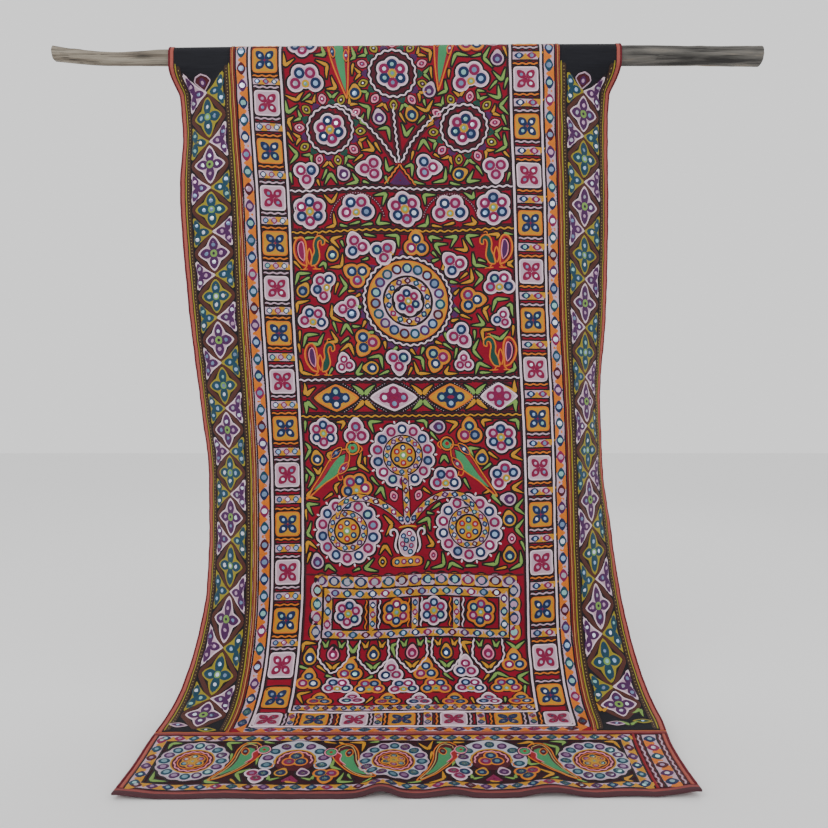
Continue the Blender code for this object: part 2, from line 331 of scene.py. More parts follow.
def cross_section(u, s):
    """Shift in x and y of the points of the pattern from the cloth's middle, at one distance along."""
    reach = np.abs(s)
    left = np.radians(along(DRAPE_TABLE, "s", reach, "left"))
    right = np.radians(along(DRAPE_TABLE, "s", reach, "right"))
    ripple = np.radians(along(DRAPE_TABLE, "s", reach, "ripple"))
    x = np.zeros_like(u)
    y = np.zeros_like(u)
    du = u / ACROSS_STEPS
    for k in range(ACROSS_STEPS):
        at = du * (k + 0.5)
        in_border = smooth((np.abs(at) - TURN_START) / (TURN_END - TURN_START))
        turn = np.sign(at) * np.where(at > 0, right, left) * in_border
        wave = np.sin(2 * math.pi * at / RIPPLE_LENGTH + RIPPLE_PHASE + RIPPLE_DRIFT * reach)
        angle = turn + ripple * wave * (1.0 - in_border)
        x += np.cos(angle) * du
        y += np.sin(angle) * du
    return x * along(DRAPE_TABLE, "s", reach, "width"), y


def hem_lift(u, s):
    """How far the free foot of the cloth stands off the floor."""
    lift = HUMP_HEIGHT * np.exp(-(((s - HUMP_AT) / HUMP_HALF_WIDTH) ** 2))
    near_hem = smooth((s - RIDGE_START) / (FRONT_LENGTH - RIDGE_START)) ** 1.5
    for at, half, height in zip(*HEM_RIDGES.values()):
        lift += height * np.exp(-(((u - at) / half) ** 2)) * near_hem
    return lift


def drape(u, s):
    """The place of the under-face at the pattern's points (u, s), as arrays of x, y, z."""
    shape = u.shape
    u, s = u.ravel().copy(), s.ravel().copy()
    across, back = cross_section(u, s)
    x = along(DRAPE_TABLE, "s", np.abs(s), "centre") + across
    top_x = u + DRAPE_TABLE["centre"][0]
    radius = along(POLE_TABLE, "x", top_x, "radius") + CLOTH_CLEARANCE
    axis = along(POLE_TABLE, "x", top_x, "height")
    turn = np.clip(s / radius, -0.5 * math.pi, 0.5 * math.pi)
    y = POLE_Y - radius * np.sin(turn)
    z = axis + radius * np.cos(turn)
    hang = np.clip(np.abs(s) - 0.5 * math.pi * radius, 0.0, None)
    straight = axis - BEND_DROP
    bent = np.where(s > 0, hang - straight, 0.0)
    z -= np.where(s > 0, np.minimum(hang, straight), hang)
    in_bend = np.clip(bent, 0.0, BEND_LENGTH)
    z -= np.interp(in_bend, BEND[0], BEND[2])
    y -= np.interp(in_bend, BEND[0], BEND[1])
    y -= np.clip(bent - BEND_LENGTH, 0.0, None)
    z = np.maximum(z, 0.0) + hem_lift(u, s)
    y += back + along(DRAPE_TABLE, "s", np.abs(s), "belly")
    return np.stack([x, y, z], axis=1).reshape(*shape, 3)


def relief(u, s):
    """Puckers that the dense stitching draws, and soft creases, as a height along the normal."""
    rise = np.zeros_like(u)
    for at_u, at_s, turn, half_length, half_width, height in zip(*CREASES.values()):
        a = math.radians(turn)
        du, ds = u - at_u, s - at_s
        long = (du * math.cos(a) - ds * math.sin(a)) / half_length
        wide = (du * math.sin(a) + ds * math.cos(a)) / half_width
        rise += height * np.exp(-(long**2) - wide**2)
    around = 2 * math.pi
    pucker = np.sin(around * u / 0.047 + 3 * np.sin(s * 19)) * np.sin(around * s / 0.053 + 2 * np.sin(u * 23))
    pucker += 0.6 * np.sin(around * (u + 0.6 * s) / 0.031 + 1.7) * np.sin(around * (s - 0.4 * u) / 0.037)
    free = smooth((np.abs(s) - 0.055) / 0.05)
    down = smooth((1.34 - s) / 0.06)
    return free * (rise * down + PUCKER_HEIGHT * (pucker * down + (1 - down) * (0.5 + 0.5 * pucker)))


class Hanging:
    """A fine table of where the flat pattern hangs and which way its face looks."""

    def __init__(self):
        columns = int(round(2 * HALF / TABLE_STEP)) + 1
        rows = int(round((BACK_LENGTH + FRONT_LENGTH) / TABLE_STEP)) + 1
        self.u = np.linspace(-HALF, HALF, columns)
        self.s = np.linspace(-BACK_LENGTH, FRONT_LENGTH, rows)
        uu, ss = np.meshgrid(self.u, self.s)
        place = drape(uu, ss)
        self.place = place + relief(uu, ss)[..., None] * self.outward(place)
        self.normal = self.outward(self.place)

    @staticmethod
    def outward(place):
        along_s, along_u = np.gradient(place, axis=(0, 1))
        n = np.cross(along_s, along_u)
        return n / np.linalg.norm(n, axis=2, keepdims=True)

    def hang(self, flat):
        """Places of the flat points (u, s, height), which are in mm."""
        i = np.clip((flat[:, 0] * MM - self.u[0]) / (self.u[1] - self.u[0]), 0, len(self.u) - 1.001)
        j = np.clip((flat[:, 1] * MM - self.s[0]) / (self.s[1] - self.s[0]), 0, len(self.s) - 1.001)
        i0, j0 = i.astype(int), j.astype(int)
        fi, fj = (i - i0)[:, None], (j - j0)[:, None]

        def read(table):
            top = table[j0, i0] * (1 - fi) + table[j0, i0 + 1] * fi
            low = table[j0 + 1, i0] * (1 - fi) + table[j0 + 1, i0 + 1] * fi
            return top * (1 - fj) + low * fj

        return read(self.place) + flat[:, 2:3] * MM * read(self.normal)


hanging = Hanging()


class Work:
    """Stitched work of one colour, kept flat in mm until it is hung."""

    def __init__(self):
        self.points = []
        self.quads = []
        self.uvs = []
        self.total = 0

    def add(self, u, s, h, uv_u, uv_v, face=1):
        """A grid of points, joined by quads that look outward, or inward where face is -1."""
        u, s, h, uv_u, uv_v = np.broadcast_arrays(u, s, h, uv_u, uv_v)
        rows, cols = u.shape
        index = np.arange(rows * cols).reshape(rows, cols) + self.total
        quads = np.stack([index[:-1, :-1], index[:-1, 1:], index[1:, 1:], index[1:, :-1]], -1)
        ua, sa = u[1:, 1:] - u[:-1, :-1], s[1:, 1:] - s[:-1, :-1]
        ub, sb = u[1:, :-1] - u[:-1, 1:], s[1:, :-1] - s[:-1, 1:]
        area = float(np.sum(ub * sa - ua * sb))
        if area * face < 0:
            quads = quads[..., ::-1]
        self.points.append(np.stack([u, s, h], -1).reshape(-1, 3))
        self.uvs.append(np.stack([uv_u, uv_v], -1).reshape(-1, 2))
        self.quads.append(quads.reshape(-1, 4))
        self.total += rows * cols


works = {}


def work(colour):
    """The stitched work of a colour, begun where it is new."""
    if colour not in works:
        works[colour] = Work()
    return works[colour]


def build_mesh(name, points, quads, uvs):
    """An object of these points and quads, shaded smooth, with one UV for each point."""
    mesh = bpy.data.meshes.new(name)
    mesh.vertices.add(len(points))
    mesh.vertices.foreach_set("co", points.astype(np.float32).ravel())
    mesh.loops.add(quads.size)
    mesh.loops.foreach_set("vertex_index", quads.astype(np.int32).ravel())
    mesh.polygons.add(len(quads))
    mesh.polygons.foreach_set("loop_start", np.arange(0, quads.size, 4, dtype=np.int32))
    mesh.update(calc_edges=True)
    layer = mesh.uv_layers.new(name="thread")
    layer.data.foreach_set("uv", uvs[quads.ravel()].astype(np.float32).ravel())
    mesh.polygons.foreach_set("use_smooth", np.ones(len(quads), dtype=bool))
    mesh.validate()
    made = bpy.data.objects.new(name, mesh)
    bpy.context.scene.collection.objects.link(made)
    return made


class Spot:
    """A place on the flat pattern in mm, with a turn. Local x is to the right of it and y above it.

    With tall under 1, all that is drawn from the spot is squeezed along the cloth.
    """

    def __init__(self, u, s, turn=0.0, tall=1.0):
        self.u, self.s, self.turn, self.tall = u, s, turn, tall
        self.c, self.n = math.cos(math.radians(turn)), math.sin(math.radians(turn))

    def flat(self, x, y):
        return self.u + x * self.c - y * self.n, self.s - (x * self.n + y * self.c) * self.tall

    def spot(self, x, y, turn=0.0):
        u, s = self.flat(x, y)
        return Spot(float(u), float(s), self.turn + turn, self.tall)


def polar(radius, degrees):
    """The place x, y at a distance and an angle."""
    return radius * math.cos(math.radians(degrees)), radius * math.sin(math.radians(degrees))


def far_along(path):
    """How far along a path each of its points is."""
    return np.concatenate([[0], np.cumsum(np.linalg.norm(np.diff(path, axis=0), axis=1))])


# Edges of shapes: each gives how far the shape reaches from its middle at the angles asked for


def lobes(angles, reach, size, waist=0.0):
    """Round lobes in a ring, as on a flower."""

    def edge(a):
        best = np.full_like(a, waist, dtype=float)
        for lobe in np.radians(angles):
            off = reach * np.sin(a - lobe)
            inside = size**2 - off**2
            r = reach * np.cos(a - lobe) + np.sqrt(np.clip(inside, 0, None))
            best = np.maximum(best, np.where(inside > 0, r, 0))
        return best

    return edge


def even(count, first=90.0):
    """Angles evenly round a ring."""
    return [first + 360.0 * k / count for k in range(count)]


def soft(half_x, half_y, power):
    """A diamond at power 1, an ellipse at 2, a square at 6 and pinched in below 1."""

    def edge(a):
        return ((np.abs(np.cos(a)) / half_x) ** power + (np.abs(np.sin(a)) / half_y) ** power) ** (-1 / power)

    return edge


def disc(radius):
    return lambda a: np.full_like(a, radius, dtype=float)


def drop(radius, point=0.45):
    """A round with a point above."""
    return lambda a: radius * (1 + point * np.clip(np.sin(a), 0, 1) ** 9)


def corners(points):
    """A straight-sided shape through these corners, in order round the middle."""
    points = [np.array(p, float) for p in points]

    def edge(a):
        best = np.zeros_like(a, dtype=float)
        for p, q in zip(points, points[1:] + points[:1]):
            side = q - p
            dx, dy = np.cos(a), np.sin(a)
            cross = dx * side[1] - dy * side[0]
            cross = np.where(np.abs(cross) < 1e-9, 1e-9, cross)
            r = (p[0] * side[1] - p[1] * side[0]) / cross
            w = (p[0] * dy - p[1] * dx) / cross
            best = np.where((r > 0) & (w >= -1e-6) & (w <= 1 + 1e-6), r, best)
        return np.clip(best, 0.05, None)

    return edge


# Stitches


def patch(colour, spot, edge, crown=0.5, base=FILL, hole=0.05, sides=40, grow=0.0):
    """A filled shape, stitched outwards from its middle."""
    angle = np.linspace(0, 2 * math.pi, sides + 1)
    reach = edge(angle) + grow
    rings = int(np.max(reach) * (1 - hole) / 7.0) + 1
    t = np.concatenate([[1.0], np.linspace(0.86, hole, max(2, rings))])[:, None]
    u, s = spot.flat(t * reach * np.cos(angle), t * reach * np.sin(angle))
    rise = np.minimum(1.0, (1.0 - t) * 3.2) ** 0.6
    work(colour).add(u, s, base + crown * rise, angle * float(np.mean(reach)), t * reach)


def ring_patch(colour, spot, edge, inner, crown=0.5, base=FILL, sides=28):
    """A domed ring of thread from an edge in to a round of radius inner."""
    angle = np.linspace(0, 2 * math.pi, sides + 1)
    reach = edge(angle)
    wide = int((np.max(reach) - inner) / 8.0)
    middle = np.linspace(0.3, 0.75, 2 + wide) if np.max(reach) > 12 else [0.42]
    t = np.concatenate([[0.0], middle, [1.0]])[:, None]
    r = reach * (1 - t) + inner * t
    u, s = spot.flat(r * np.cos(angle), r * np.sin(angle))
    rise = np.where(t <= 0, 0.0, np.where(t >= 1, 0.55, 1.0))
    work(colour).add(u, s, base + crown * rise, angle * float(np.mean(reach)), r)


def shadow(spot, edge, grow=2.6, colour="black", sides=28, base=UNDER):
    """The dark stitching round a shape, laid flat under it."""
    angle = np.linspace(0, 2 * math.pi, sides + 1)
    reach = edge(angle)
    rings = max(2, int(np.max(reach) / 9.0) + 1)
    t = np.linspace(1.0, 0.05, rings)[:, None]
    reach = (reach + grow) * t
    u, s = spot.flat(reach * np.cos(angle), reach * np.sin(angle))
    work(colour).add(u, s, base, angle * float(np.mean(reach)), reach)


def mirror(spot, radius, height=FILL + 0.55, tints=COOL_REFLECTIONS):
    """A small hand-cut mirror disc, a little crowned."""
    a, b = np.meshgrid(MIRROR_GRID, MIRROR_GRID)
    x = a * np.sqrt(1 - b * b / 2)
    y = b * np.sqrt(1 - a * a / 2)
    u, s = spot.flat(x * radius, y * radius)
    h = height + 0.22 * (1 - x * x - y * y)
    # The mirror's tint is a painted reflection, drawn from a mostly darker set where it lies on the foot
    if spot.s > FOOT_TINTS_FROM:
        tints = FOOT_REFLECTIONS.get(tints, tints)
    work(draw.choice(tints)).add(u, s, h, x, y)


def resample(path, step, closed=False):
    """Even points along a path."""
    path = np.asarray(path, float)
    if closed:
        path = np.vstack([path, path[:1]])
    far = far_along(path)
    count = max(2, int(round(far[-1] / step)) + 1)
    at = np.linspace(0, far[-1], count)
    return np.stack([np.interp(at, far, path[:, 0]), np.interp(at, far, path[:, 1])], 1)


def curve(points, steps=10):
    """A smooth path through a few points."""
    p = np.asarray(points, float)
    p = np.vstack([2 * p[0] - p[1], p, 2 * p[-1] - p[-2]])
    t = np.linspace(0, 1, steps, endpoint=False)[:, None]
    parts = []
    for a, b, c, d in zip(p, p[1:], p[2:], p[3:]):
        square_part, cube_part = 2 * a - 5 * b + 4 * c - d, 3 * b - a - 3 * c + d
        parts.append(0.5 * (2 * b + (c - a) * t + square_part * t**2 + cube_part * t**3))
    return np.vstack([*parts, p[-2:-1]])


def sideways(path):
    """Unit vectors to the left of a path."""
    t = np.gradient(path, axis=0)
    t /= np.linalg.norm(t, axis=1, keepdims=True) + 1e-12
    return np.stack([t[:, 1], -t[:, 0]], 1)


def cord(colour, path, width=2.2, crown=0.8, base=CLOTH_TOP + 0.1, step=3.0, closed=False, reverse=True,
         taper=True, flat=False):
    """A line of chain stitch, with its trace on the wrong side of the cloth."""
    path = resample(path, step, closed)
    side = sideways(path)
    if closed:
        turn = path[1] - path[-2]
        turn /= np.linalg.norm(turn) + 1e-12
        side[0] = side[-1] = (turn[1], -turn[0])
    far = far_along(path)
    broad = width > (10.0 if flat else 3.2)
    across = np.array([-1.0, -0.45, 0.45, 1.0]) if broad else np.array([-1.0, 0.0, 1.0])
    rise = np.array([0.0, 1.0, 1.0, 0.0]) if broad else np.array([0.0, 1.0, 0.0])
    rise = np.maximum(rise, 1.0 if flat else 0.0)
    half = np.full(len(path), 0.5 * width)
    if taper and not closed:
        half[[0, -1]] *= 0.45
    u = path[:, :1] + side[:, :1] * half[:, None] * across
    s = path[:, 1:] + side[:, 1:] * half[:, None] * across
    work(colour).add(u, s, base + crown * rise, far[:, None], across * 0.5 * width)
    if reverse and float(np.min(path[:, 1])) > 60:
        trace = np.array([-0.5, 0.5])
        kept = np.unique([*range(0, len(path), 2), len(path) - 1])
        u = path[kept, :1] + side[kept, :1] * trace
        s = path[kept, 1:] + side[kept, 1:] * trace
        work(colour).add(u, s, CLOTH_LOW - 0.12, far[kept, None], trace, face=-1)


def ring_path(spot, edge, grow=0.0, sides=72):
    """The flat path round a shape."""
    angle = np.linspace(0, 2 * math.pi, sides, endpoint=False)
    reach = edge(angle) + grow
    u, s = spot.flat(reach * np.cos(angle), reach * np.sin(angle))
    return np.stack([u, s], 1)


def outline(colour, spot, edge, width=2.2, crown=0.7, grow=0.0, step=3.7, base=FILL):
    """A line of stitches round a shape."""
    cord(colour, ring_path(spot, edge, grow), width, crown, base, step, closed=True)


def waved(path, swing, pitch, closed=False):
    """The path with small even waves."""
    path = resample(path, 2.2, closed)
    far = far_along(path)
    if closed:
        pitch = far[-1] / max(1, round(far[-1] / pitch))
    return path + sideways(path) * (swing * np.sin(2 * math.pi * far / pitch))[:, None]


def wavy_line(colour, path, width=3.0, swing=1.1, pitch=13.0, closed=False, ground="black"):
    """A wavy thread line with a dark line at each side."""
    path = waved(path, swing, pitch, closed)
    if closed:
        path = path[:-1]
    cord(ground, path, width + 6.0, 0.25, UNDER - 0.1, 4.0, closed, reverse=False, flat=True)
    cord(colour, path, width, 0.85, UNDER + 0.1, 2.6, closed)


def seeded_line(path, ground="black", width=4.4, seed="lilac", pitch=5.2):
    """A dark line with a row of small light seed stitches."""
    cord(ground, path, width, 0.2, UNDER, step=4.0, flat=True)
    path = resample(path, pitch)
    side = sideways(path)
    for k in range(1, len(path) - 1):
        t = np.array([-side[k, 1], side[k, 0]])
        ends = np.array([path[k] - 0.9 * t, path[k] + 0.9 * t])
        cord(seed, ends, 1.2, 0.5, FILL + 0.1, 2.0, reverse=False, taper=False)


# Small motifs


def eyelet(spot, petal, size, glass):
    """A mirror in a round petal of dark thread."""
    ring_patch(petal, spot, disc(size), glass * 0.92, 0.5, FILL + 0.3, 18)
    # Mirrors in magenta, maroon, red and purple petals take warm painted reflections of them; the rest take
    # cool ones
    tints = WARM_REFLECTIONS if petal in ("magenta", "maroon", "red", "purple") else COOL_REFLECTIONS
    mirror(spot, glass, FILL + 0.55, tints=tints)


def leaf(colour, spot, length, width, bow=0.0):
    """A pointed leaf that runs up from the spot, thickest near its foot, on a dark edge."""
    t = LEAF_STEPS
    half = 0.5 * width * np.minimum(1.0, 0.45 + 4 * t) * np.clip(1 - t, 0, 1) ** 0.75
    v = np.array([-1.0, 0.0, 1.0])
    x = bow * np.sin(math.pi * t * 0.8) + v * (half + 3.2)
    y = -3.0 + (length + 6.4) * t + 0 * v
    u, s = spot.flat(x, y)
    work("black").add(u, s, UNDER, x, y)
    v = np.array([-1.0, -0.5, 0.5, 1.0])
    x = bow * np.sin(math.pi * t * 0.8) + v * (half + 0.15)
    y = length * t + 0 * v
    u, s = spot.flat(x, y)
    work(colour).add(u, s, FILL + 0.5 * (v**2 < 0.9), x, y)


def vee(colour, spot, size=20.0, open_by=78.0):
    """Two leaves that meet in a V, point down."""
    for side in (-1, 1):
        foot = spot.spot(side * 0.06 * size, 0, -side * open_by / 2)
        leaf(colour, foot, size, size * 0.40, -side * size * 0.07)


def drop_eye(spot, rim, dark, size=13.0, glass=4.4):
    """A drop with its point up: a light rim, a dark drop in it and a mirror."""
    shadow(spot, drop(size), 3.8)
    ring_patch(rim, spot, drop(size), size * 0.76, 0.5, FILL, 30)
    patch(dark, spot, drop(size * 0.77), 0.4, FILL + 0.1, 0.1, 26)
    # The mirror takes a painted reflection to match the dark drop round it
    mirror(spot.spot(0, -1.0), glass, tints=WARM_REFLECTIONS if dark != "navy" else COOL_REFLECTIONS)


def seed_eye(spot, rim, dark, size=8.6):
    """A small pointed eye."""
    shadow(spot, soft(size * 0.86, size * 1.15, 1.6), 2.4, sides=20)
    ring_patch(rim, spot, soft(size * 0.86, size * 1.15, 1.6), size * 0.5, 0.5, FILL, 20)
    patch(dark, spot, soft(size * 0.58, size * 0.8, 1.6), 0.4, FILL + 0.15, 0.1, 14)
    mirror(spot, size * 0.2, FILL + 0.5, tints=WARM_REFLECTIONS)


def fill_with_edge(spot, edge, fill, sides=56):
    """A fill of thread with its dark outline, and a brighter line just inside the edge."""
    shadow(spot, edge, 4.2, sides=sides)
    patch(fill, spot, edge, 0.35, FILL, 0.06, sides)
    outline(EDGES[fill], spot, edge, 2.8, 0.5, -1.5, 3.4, FILL + 0.1)


def flower(spot, scheme, reach, size, glass, body, centre):
    """A full flower: a six-lobed fill, a mirror in each petal and one in the middle."""
    fill_with_edge(spot, lobes(even(6), reach, body, reach), FILLS[scheme])
    for k, a in enumerate(even(6)):
        eyelet(spot.spot(*polar(reach, a)), PETALS[scheme][k % 2], size, glass)
    ring_patch("mustard", spot, disc(centre), centre * 0.62, 0.55, FILL + 0.4, 20)
    ring_patch("leaf", spot, disc(centre * 0.7), centre * 0.30, 0.4, FILL + 0.45, 16)
    mirror(spot, centre * 0.33, FILL + 0.7)


def three_lobes(reach, body, point):
    """Three round lobes, the first drawn out to a soft point."""
    round_edge = lobes(even(3), reach, body, reach)

    def edge(a):
        near = np.clip(np.cos(a - math.radians(90)), 0, 1) ** 24
        return round_edge(a) * (1 + point * near)

    return edge


def trefoil(spot, scheme, reach, size, glass, body, point=0.16):
    """Three mirrors in a three-lobed fill."""
    fill_with_edge(spot, three_lobes(reach, body, point), FILLS[scheme])
    for k, a in enumerate(even(3)):
        eyelet(spot.spot(*polar(reach, a)), PETALS[scheme][(k + 1) % 2], size, glass)


def half_flower(spot, scheme, reach, size, glass, body):
    """Four petals over a mirror: a flower seen from the side, stem down."""
    fill_with_edge(spot.spot(0, 3), lobes(HALF_PETALS, reach, body, 12), FILLS[scheme])
    for k, a in enumerate(HALF_PETALS):
        x, y = polar(reach, a)
        eyelet(spot.spot(x, y + 3), PETALS[scheme][k % 2], size, glass)
    ring_patch("mustard", spot, disc(7.8), 4.7, 0.55, FILL + 0.4, 20)
    ring_patch("leaf", spot, disc(5.4), 2.2, 0.4, FILL + 0.45, 16)
    mirror(spot, 2.7, FILL + 0.7)


def cells_along(path, pitch):
    """The length of even cells along a path, and a spot in the middle of each that follows the path."""
    far = far_along(path)
    cells = max(1, round(far[-1] / pitch))
    pitch = far[-1] / cells
    spots = []
    for k in range(cells):
        at = (k + 0.5) * pitch
        j = min(len(path) - 2, int(np.searchsorted(far, at)) - 1)
        du, ds = path[j + 1] - path[j]
        u, s = np.interp(at, far, path[:, 0]), np.interp(at, far, path[:, 1])
        spots.append(Spot(u, s, math.degrees(math.atan2(-ds, du))))
    return pitch, spots


def eye_band(path, width, pitch, closed, eye, glass, first=0, grounds=("lilac", "mustard"), lift=0.0):
    """A ribbon of light triangles in two colours with a mirror in a dark pointed eye at each cell."""
    path = resample(path, 4.0, closed)
    pitch, spots = cells_along(path, pitch)
    edge_width = 2.2 if width < 14 else 3.0
    cord("black", path, width + 2 * edge_width, 0.2, UNDER - 0.1 + lift, 5.0, taper=False, flat=True)
    cord(grounds[0], path, width, 0.3, UNDER + 0.1 + lift, 5.0, reverse=False, taper=False)
    for k, spot in enumerate(spots):
        side = 1 if (k + first) % 2 else -1
        here = spot.spot(0.5 * pitch, side * 0.22 * width)
        wide = 0.46 * pitch
        tri = ((-wide, side * 0.27 * width), (wide, side * 0.27 * width), (0, -side * 0.62 * width))
        patch(grounds[1], here, corners(tri if side > 0 else tri[::-1]), 0.15, UNDER + 0.36 + lift, 0.02, 18)
        colour = EYE_COLOURS[(k + first) % len(EYE_COLOURS)]
        shape = soft(0.40 * pitch, 0.5 * width * eye * 1.3, 1.45)
        patch(colour, spot, shape, 0.4, FILL + 0.3 + lift, 0.1, 20)
        # Each mirror's painted reflection is warm beside a warm eye and cool beside the rest
        warm = colour in ("magenta", "maroon", "purple")
        shown = width * glass * EYE_GLASS_SHOWN
        mirror(spot, shown, FILL + 0.78 + lift, tints=WARM_REFLECTIONS if warm else COOL_REFLECTIONS)


def line_of(*points):
    return np.array(points, float)


def round_spots(spot, count, radius, first=90.0):
    """Spots evenly round a ring, each turned to look outwards."""
    for a in even(count, first):
        yield spot.spot(*polar(radius, a), a - 90)


def tipped_medallion(spot, radius, petals=14):
    """A large flower: a ring of mirrors in petals, a band of small eyes and a flower in the middle."""
    reach = radius * 0.78
    edge = lobes(even(petals), reach, radius - reach, reach + 2)
    shadow(spot, edge, 4.4, sides=96)
    ring_patch("lilac", spot, edge, radius * 0.60, 0.35, FILL, 96)
    outline("pearl", spot, edge, 2.8, 0.5, -1.4, 3.4, FILL + 0.1)
    for k, here in enumerate(round_spots(spot, petals, reach)):
        eyelet(here, ("navy", "magenta")[k % 2], radius * 0.150, radius * 0.082)
    for here in round_spots(spot, petals, radius + 0.5, 90 + 180 / petals):
        patch("pearl", here, soft(1.9, 3.8, 2.0), 0.9, UNDER, 0.1, 10)
    eye_band(ring_path(spot, disc(radius * 0.495)), radius * 0.17, radius * 0.24, True, 0.72, 0.27)
    shadow(spot, disc(radius * 0.365), 2.8, sides=40, base=UNDER + 0.05)
    outline("black", spot, disc(radius * 0.60), 2.6, 0.1, 0, 3.4, FILL + 0.42)
    outline("black", spot, disc(radius * 0.375), 2.6, 0.1, 0, 3.4, FILL + 0.42)
    patch("mustard", spot, disc(radius * 0.355), 0.4, FILL + 0.1, 0.1, 36)
    for k, here in enumerate(round_spots(spot, 6, radius * 0.225)):
        eyelet(here, ("navy", "red")[k % 2], radius * 0.098, radius * 0.046)
    ring_patch("leaf", spot, disc(radius * 0.11), radius * 0.05, 0.4, FILL + 0.5, 18)
    mirror(spot, radius * 0.05, FILL + 0.75)


def halo_medallion(spot, turn=0.0):
    """A six-petalled flower in a wavy ring, with eyes and leaves standing round it."""
    shadow(spot, disc(46), 3.0, "maroon", 60, UNDER - 0.12)
    wavy_line("pearl", ring_path(spot, disc(46)), 3.2, 1.5, 15, closed=True)
    flower(spot.spot(0, 0, turn), "lilac", 18.0, 10.6, 4.2, 15.6, 9.0)
    for k, here in enumerate(round_spots(spot, 10, 54, 108 + turn)):
        shape = corners([(-12, -4), (12, -4), (0, 9)])
        patch(("purple", "pine")[k % 2], here, shape, 0.2, UNDER - 0.1, 0.1, 14)
    for k, here in enumerate(round_spots(spot, 10, 62, 90 + turn)):
        light, dark = (("rose", "magenta"), ("olive", "umber"))[k % 2]
        seed_eye(here, light, dark, 8.8)
    for k, here in enumerate(round_spots(spot, 10, 63, 108 + turn)):
        vee(("mustard", "leaf")[k % 2], here, 16, 96)


def great_medallion(spot):
    """The largest round: wavy ring, two-coloured ring of mirrors, band of small eyes and flower."""
    shadow(spot, lobes(even(14), 90, 16, 92), 0, "purple", 96, UNDER - 0.12)
    for k, here in enumerate(round_spots(spot, 22, 96)):
        leaf(("leaf", "mustard")[k % 2], here.spot(0, 0, 38 if k % 2 else -38), 15, 6.5)
    wavy_line("pearl", ring_path(spot, disc(88), sides=120), 3.2, 1.7, 15, closed=True)
    shadow(spot, disc(82), 1.5, sides=96)
    ring_patch("mustard", spot, disc(80.5), 67, 0.35, FILL, 96)
    outline("orange", spot, disc(80.5), 3.0, 0.5, -0.8, 3.4, FILL + 0.1)
    ring_patch("lilac", spot, disc(67.5), 50.5, 0.35, FILL, 96)
    outline("pearl", spot, disc(53.5), 2.6, 0.5, 0, 3.4, FILL + 0.1)
    outline("black", spot, disc(50), 2.8, 0.1, 0, 3.4, FILL + 0.42)
    for k, here in enumerate(round_spots(spot, 19, 66)):
        ring_patch(("navy", "maroon", "teal", "purple")[k % 4], here, disc(10.5), 5.6, 0.4, FILL + 0.4, 20)
        mirror(here, 6.1, FILL + 0.7, tints=("mirror_blue", "mirror_green", "mirror_slate", "mirror_grey"))
    eye_band(ring_path(spot, disc(40.5)), 13, 18, True, 0.75, 0.24)
    flower(spot.spot(0, 0, 10), "lilac", 16.0, 8.8, 3.6, 14.0, 8)


def square(spot, scheme):
    """A square fill with four mirrors on its diagonals."""
    edge = soft(24.6, 24.6, 9.0)
    fill = {"rose": "lilac", "gold": "mustard"}[scheme]
    fill_with_edge(spot, edge, fill, 48)
    petal = {"rose": "crimson", "gold": "navy"}[scheme]
    patch({"rose": "crimson", "gold": "magenta"}[scheme], spot, soft(9, 9, 1.0), 0.3, FILL + 0.1, 0.1, 16)
    for here in round_spots(spot, 4, 12.6, 45):
        ring_patch(petal, here, soft(8.0, 11.6, 1.6), 3.0, 0.45, FILL + 0.3, 20)
        # The mirrors take warm painted reflections in rose squares and cool ones in gold squares
        mirror(here, 3.3, FILL + 0.55, tints=WARM_REFLECTIONS if scheme == "rose" else COOL_REFLECTIONS)


def square_gap(spot, width, length, mirrors, upper, lower):
    """Between two squares: a wavy line, a short band of eyes and another wavy line."""
    half = 0.5 * width
    step = 0.5 * length - 3.5
    for y, colour in ((step, upper), (-step, lower)):
        ends = line_of(spot.flat(-half, y), spot.flat(half, y))
        wavy_line(colour, ends, 3.0, 1.2, 15)
    if step > 8:
        band = line_of(spot.flat(-half, 0), spot.flat(half, 0))
        eye_band(band, min(15.0, 2 * step - 10), width / mirrors, False, 0.66, 0.3)


def laid(spot, points, facing=1, size=1.0, steps=5):
    """The flat path of a smooth curve drawn in a spot's own coordinates."""
    path = curve(np.array(points, float), steps) * size
    u, s = spot.flat(facing * path[:, 0], path[:, 1])
    return np.stack([u, s], 1)


def peacock(spot, facing=1, eye="magenta"):
    """A large looped tail with an eye in it and a long-necked bird beside it, on two feet."""
    fan("black", laid(spot, TAIL, facing, 1.07), 0.1, UNDER)
    fan("scarlet", laid(spot, TAIL, facing, 0.97), 0.1, UNDER + 0.08)
    fan("black", laid(spot, TAIL_EYE, facing, 1.18), 0.1, FILL + 0.05)
    fan(eye, laid(spot, TAIL_EYE, facing), 0.4, FILL + 0.1)
    fan("black", laid(spot, BIRD, facing, 1.05), 0.1, UNDER)
    fan("pine", laid(spot, BIRD, facing, 0.96), 0.4, UNDER + 0.05)
    rims = ((TAIL, "orange", 3.4), (BIRD, "orange", 2.8), (TAIL_EYE, "rose", 2.4), (CREST, "orange", 2.8))
    for points, colour, width in rims:
        cord(colour, laid(spot, points, facing), width, 0.6, FILL + 0.1, 2.6)
    for points in FEET_AND_CREST:
        cord("orange", laid(spot, points, facing), 2.4, 0.6, step=2.6)


def fan(colour, path, crown=0.5, base=FILL):
    """A fill of the space inside a closed path that starts at one end of it, stitched across."""
    path = resample(path, 3.0)
    n = len(path) // 2
    one, two = path[:n], path[::-1][:n]
    t = np.array([0.0, 0.2, 0.5, 0.8, 1.0])
    u = one[:, :1] * (1 - t) + two[:, :1] * t
    s = one[:, 1:] * (1 - t) + two[:, 1:] * t
    rise = 1 - (2 * t - 1) ** 4
    work(colour).add(u, s, base + crown * rise + 0 * u, np.arange(n)[:, None] * 3.0, t * 6)


